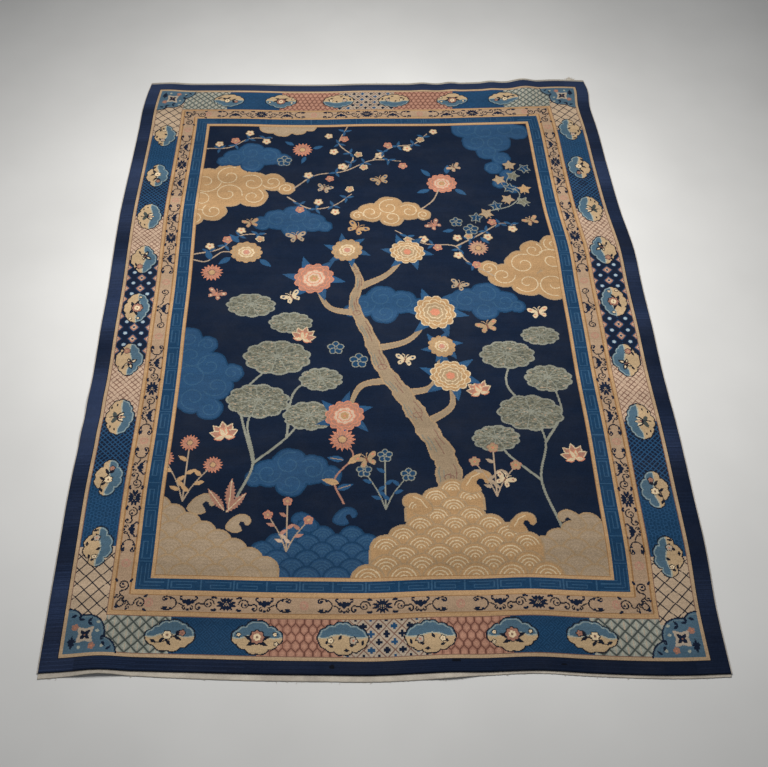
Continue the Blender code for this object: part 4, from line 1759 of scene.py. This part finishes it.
def mixer(tree, share, other):
    """A node that mixes some of another colour into the colour at its first colour input."""
    node = tree.nodes.new("ShaderNodeMix")
    node.data_type = "RGBA"
    tree.links.new(share, node.inputs["Factor"])
    node.inputs[MIX_OTHER].default_value = other
    return node


def add_bump(tree, shader, height, distance):
    bump = tree.nodes.new("ShaderNodeBump")
    bump.inputs["Distance"].default_value = distance
    tree.links.new(height, bump.inputs["Height"])
    tree.links.new(bump.outputs["Normal"], shader.inputs["Normal"])


def set_inputs(shader, **values):
    """Plain values of a shader's inputs, named with _ for a space."""
    for name, value in values.items():
        shader.inputs[name.replace("_", " ")].default_value = value


def wool(name, relief):
    """Knotted wool: dyed yarn with streaks along the wefts, knots of other shades, and soft wear."""
    material, tree, shader = new_material(name)
    yarn = tree.nodes.new("ShaderNodeVertexColor")
    yarn.layer_name = "yarn"
    streaks = remap(tree, noise(tree, (0.5, 9.0, 1.0), 3.0, 0.6), 0.86, 1.14)
    fine = remap(tree, noise(tree, (7.0, 150.0, 1.0), 1.0), 0.95, 1.05)
    knots = remap(tree, noise(tree, (260.0, 260.0, 260.0), 0.0), 0.86, 1.14)
    patchy = remap(tree, noise(tree, (2.2, 2.2, 2.2), 4.0, 0.6), 0.93, 1.07)
    shade = times(tree, times(tree, streaks, fine), times(tree, knots, patchy))
    worn = remap(tree, noise(tree, (3.1, 3.7, 3.0), 6.0, 0.7), 0.0, 0.02, 0.45, 0.75)
    blend = mixer(tree, worn, (0.30, 0.27, 0.22, 1))
    tree.links.new(brighten(tree, yarn.outputs["Color"], shade), blend.inputs[MIX_FIRST])
    tree.links.new(blend.outputs[MIX_RESULT], shader.inputs["Base Color"])
    add_bump(tree, shader, noise(tree, (300.0, 300.0, 300.0), 2.0, 0.6), relief)
    set_inputs(shader, Roughness=0.92, Specular_IOR_Level=0.08, Sheen_Weight=0.08,
               Sheen_Roughness=0.4, Sheen_Tint=(0.66, 0.76, 0.90, 1))
    return material


def cotton(name, base):
    """Undyed cotton yarn, a little soiled."""
    material, tree, shader = new_material(name)
    soil = remap(tree, noise(tree, (9.0, 9.0, 9.0), 5.0, 0.65), 0.0, 0.75, 0.35, 0.7)
    blend = mixer(tree, soil, (0.26, 0.23, 0.20, 1))
    blend.inputs[MIX_FIRST].default_value = base
    threads = remap(tree, noise(tree, (420.0, 420.0, 420.0), 1.0), 0.78, 1.18)
    tree.links.new(brighten(tree, blend.outputs[MIX_RESULT], threads), shader.inputs["Base Color"])
    add_bump(tree, shader, noise(tree, (700.0, 700.0, 700.0), 1.0), 0.0006)
    set_inputs(shader, Roughness=0.85, Specular_IOR_Level=0.2, Sheen_Weight=0.15)
    return material


def plain_floor(name):
    material, tree, shader = new_material(name)
    base = tree.nodes.new("ShaderNodeRGB")
    base.outputs[0].default_value = (0.62, 0.62, 0.61, 1)
    tone = remap(tree, noise(tree, (1.5, 1.5, 1.5), 3.0), 0.96, 1.04)
    tree.links.new(brighten(tree, base.outputs[0], tone), shader.inputs["Base Color"])
    set_inputs(shader, Roughness=0.8, Specular_IOR_Level=0.2)
    return material


# Studio
# Half the floor's size, and how far it lies below the carpet, in metres
FLOOR_HALF = 9.0
FLOOR_DROP = 0.0004

# The camera: focal length and sensor width in mm, how far its picture is shifted, in widths, its
# place in metres and its turns in degrees
FOCAL_LENGTH = 42.117
SENSOR_WIDTH = 36
CAMERA_SHIFT = 0.03125
CAMERA_PLACE = (-0.1154, -2.9324, 3.5137)
CAMERA_TURNS = (35.162, -0.055, -0.679)


def floor():
    corners = np.array([(-1, -1), (1, -1), (1, 1), (-1, 1)]) * FLOOR_HALF
    points = np.column_stack([corners, np.full(4, -FLOOR_DROP)])
    obj = make_object("studio_floor", points, [np.arange(4)], smooth=False)
    obj.data.materials.append(plain_floor("floor_paper"))


def area_light(name, position, aim, size, power, colour):
    """A rectangular lamp that points at a place, with its power in watts."""
    data = bpy.data.lights.new(name, "AREA")
    data.shape = "RECTANGLE"
    data.size, data.size_y = size
    data.energy = power
    data.color = colour
    light = bpy.data.objects.new(name, data)
    light.location = position
    light.rotation_euler = (Vector(aim) - Vector(position)).to_track_quat("-Z", "Y").to_euler()
    bpy.context.scene.collection.objects.link(light)


def studio():
    """The floor, a broad lamp above the carpet, a weak one in front, and pale air all round."""
    floor()
    area_light("key", (-0.05, 0.36, 2.75), (-0.05, 0.36, 0), (2.1, 2.0), 150, (1.0, 0.98, 0.95))
    area_light("fill", (0.6, -3.2, 4.2), (0, -0.5, 0), (4.0, 2.5), 6, (0.95, 0.97, 1.0))
    world = bpy.data.worlds.new("studio_air")
    world.use_nodes = True
    world.node_tree.nodes["Background"].inputs["Color"].default_value = (0.80, 0.84, 0.90, 1)
    world.node_tree.nodes["Background"].inputs["Strength"].default_value = 0.16
    bpy.context.scene.world = world
    bpy.context.scene.view_settings.view_transform = "Standard"


def camera():
    data = bpy.data.cameras.new("camera")
    data.lens = FOCAL_LENGTH
    data.sensor_width = SENSOR_WIDTH
    data.shift_x = CAMERA_SHIFT
    obj = bpy.data.objects.new("camera", data)
    obj.location = CAMERA_PLACE
    obj.rotation_euler = [math.radians(angle) for angle in CAMERA_TURNS]
    bpy.context.scene.collection.objects.link(obj)
    bpy.context.scene.camera = obj


def dress():
    """Every piece of the carpet, with its material, and the CAD parts that the pieces stand for hidden."""
    yarns = np.array([(*dye, 255) for dye in DYES.values()]) / 255
    pile = pile_pieces(yarns)
    back = carpet_back(yarns)
    webs = [web("web_near", -1), web("web_far", 1), loose_threads()]
    edges = [overcast_edge("edge_winding_left", -1), overcast_edge("edge_winding_right", 1)]
    for pieces, material, slot in (
            (pile, wool("wool_pile_knots", 0.0012), "wool_pile"),
            ([back], wool("wool_back_knots", 0.0006), "wool_pile"),
            (webs, cotton("cotton_weave", (0.52, 0.47, 0.39, 1)), "cotton_yarn"),
            (edges, cotton("cotton_winding", (0.54, 0.49, 0.43, 1)), "cotton_yarn")):
        for piece in pieces:
            piece.data.materials.append(material)
            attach(piece, "root")
    for piece in pile + [back] + webs:
        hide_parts("carpet")
    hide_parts("overcast_edge_left")
    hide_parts("overcast_edge_right")


field()
border()
dress()
studio()
camera()
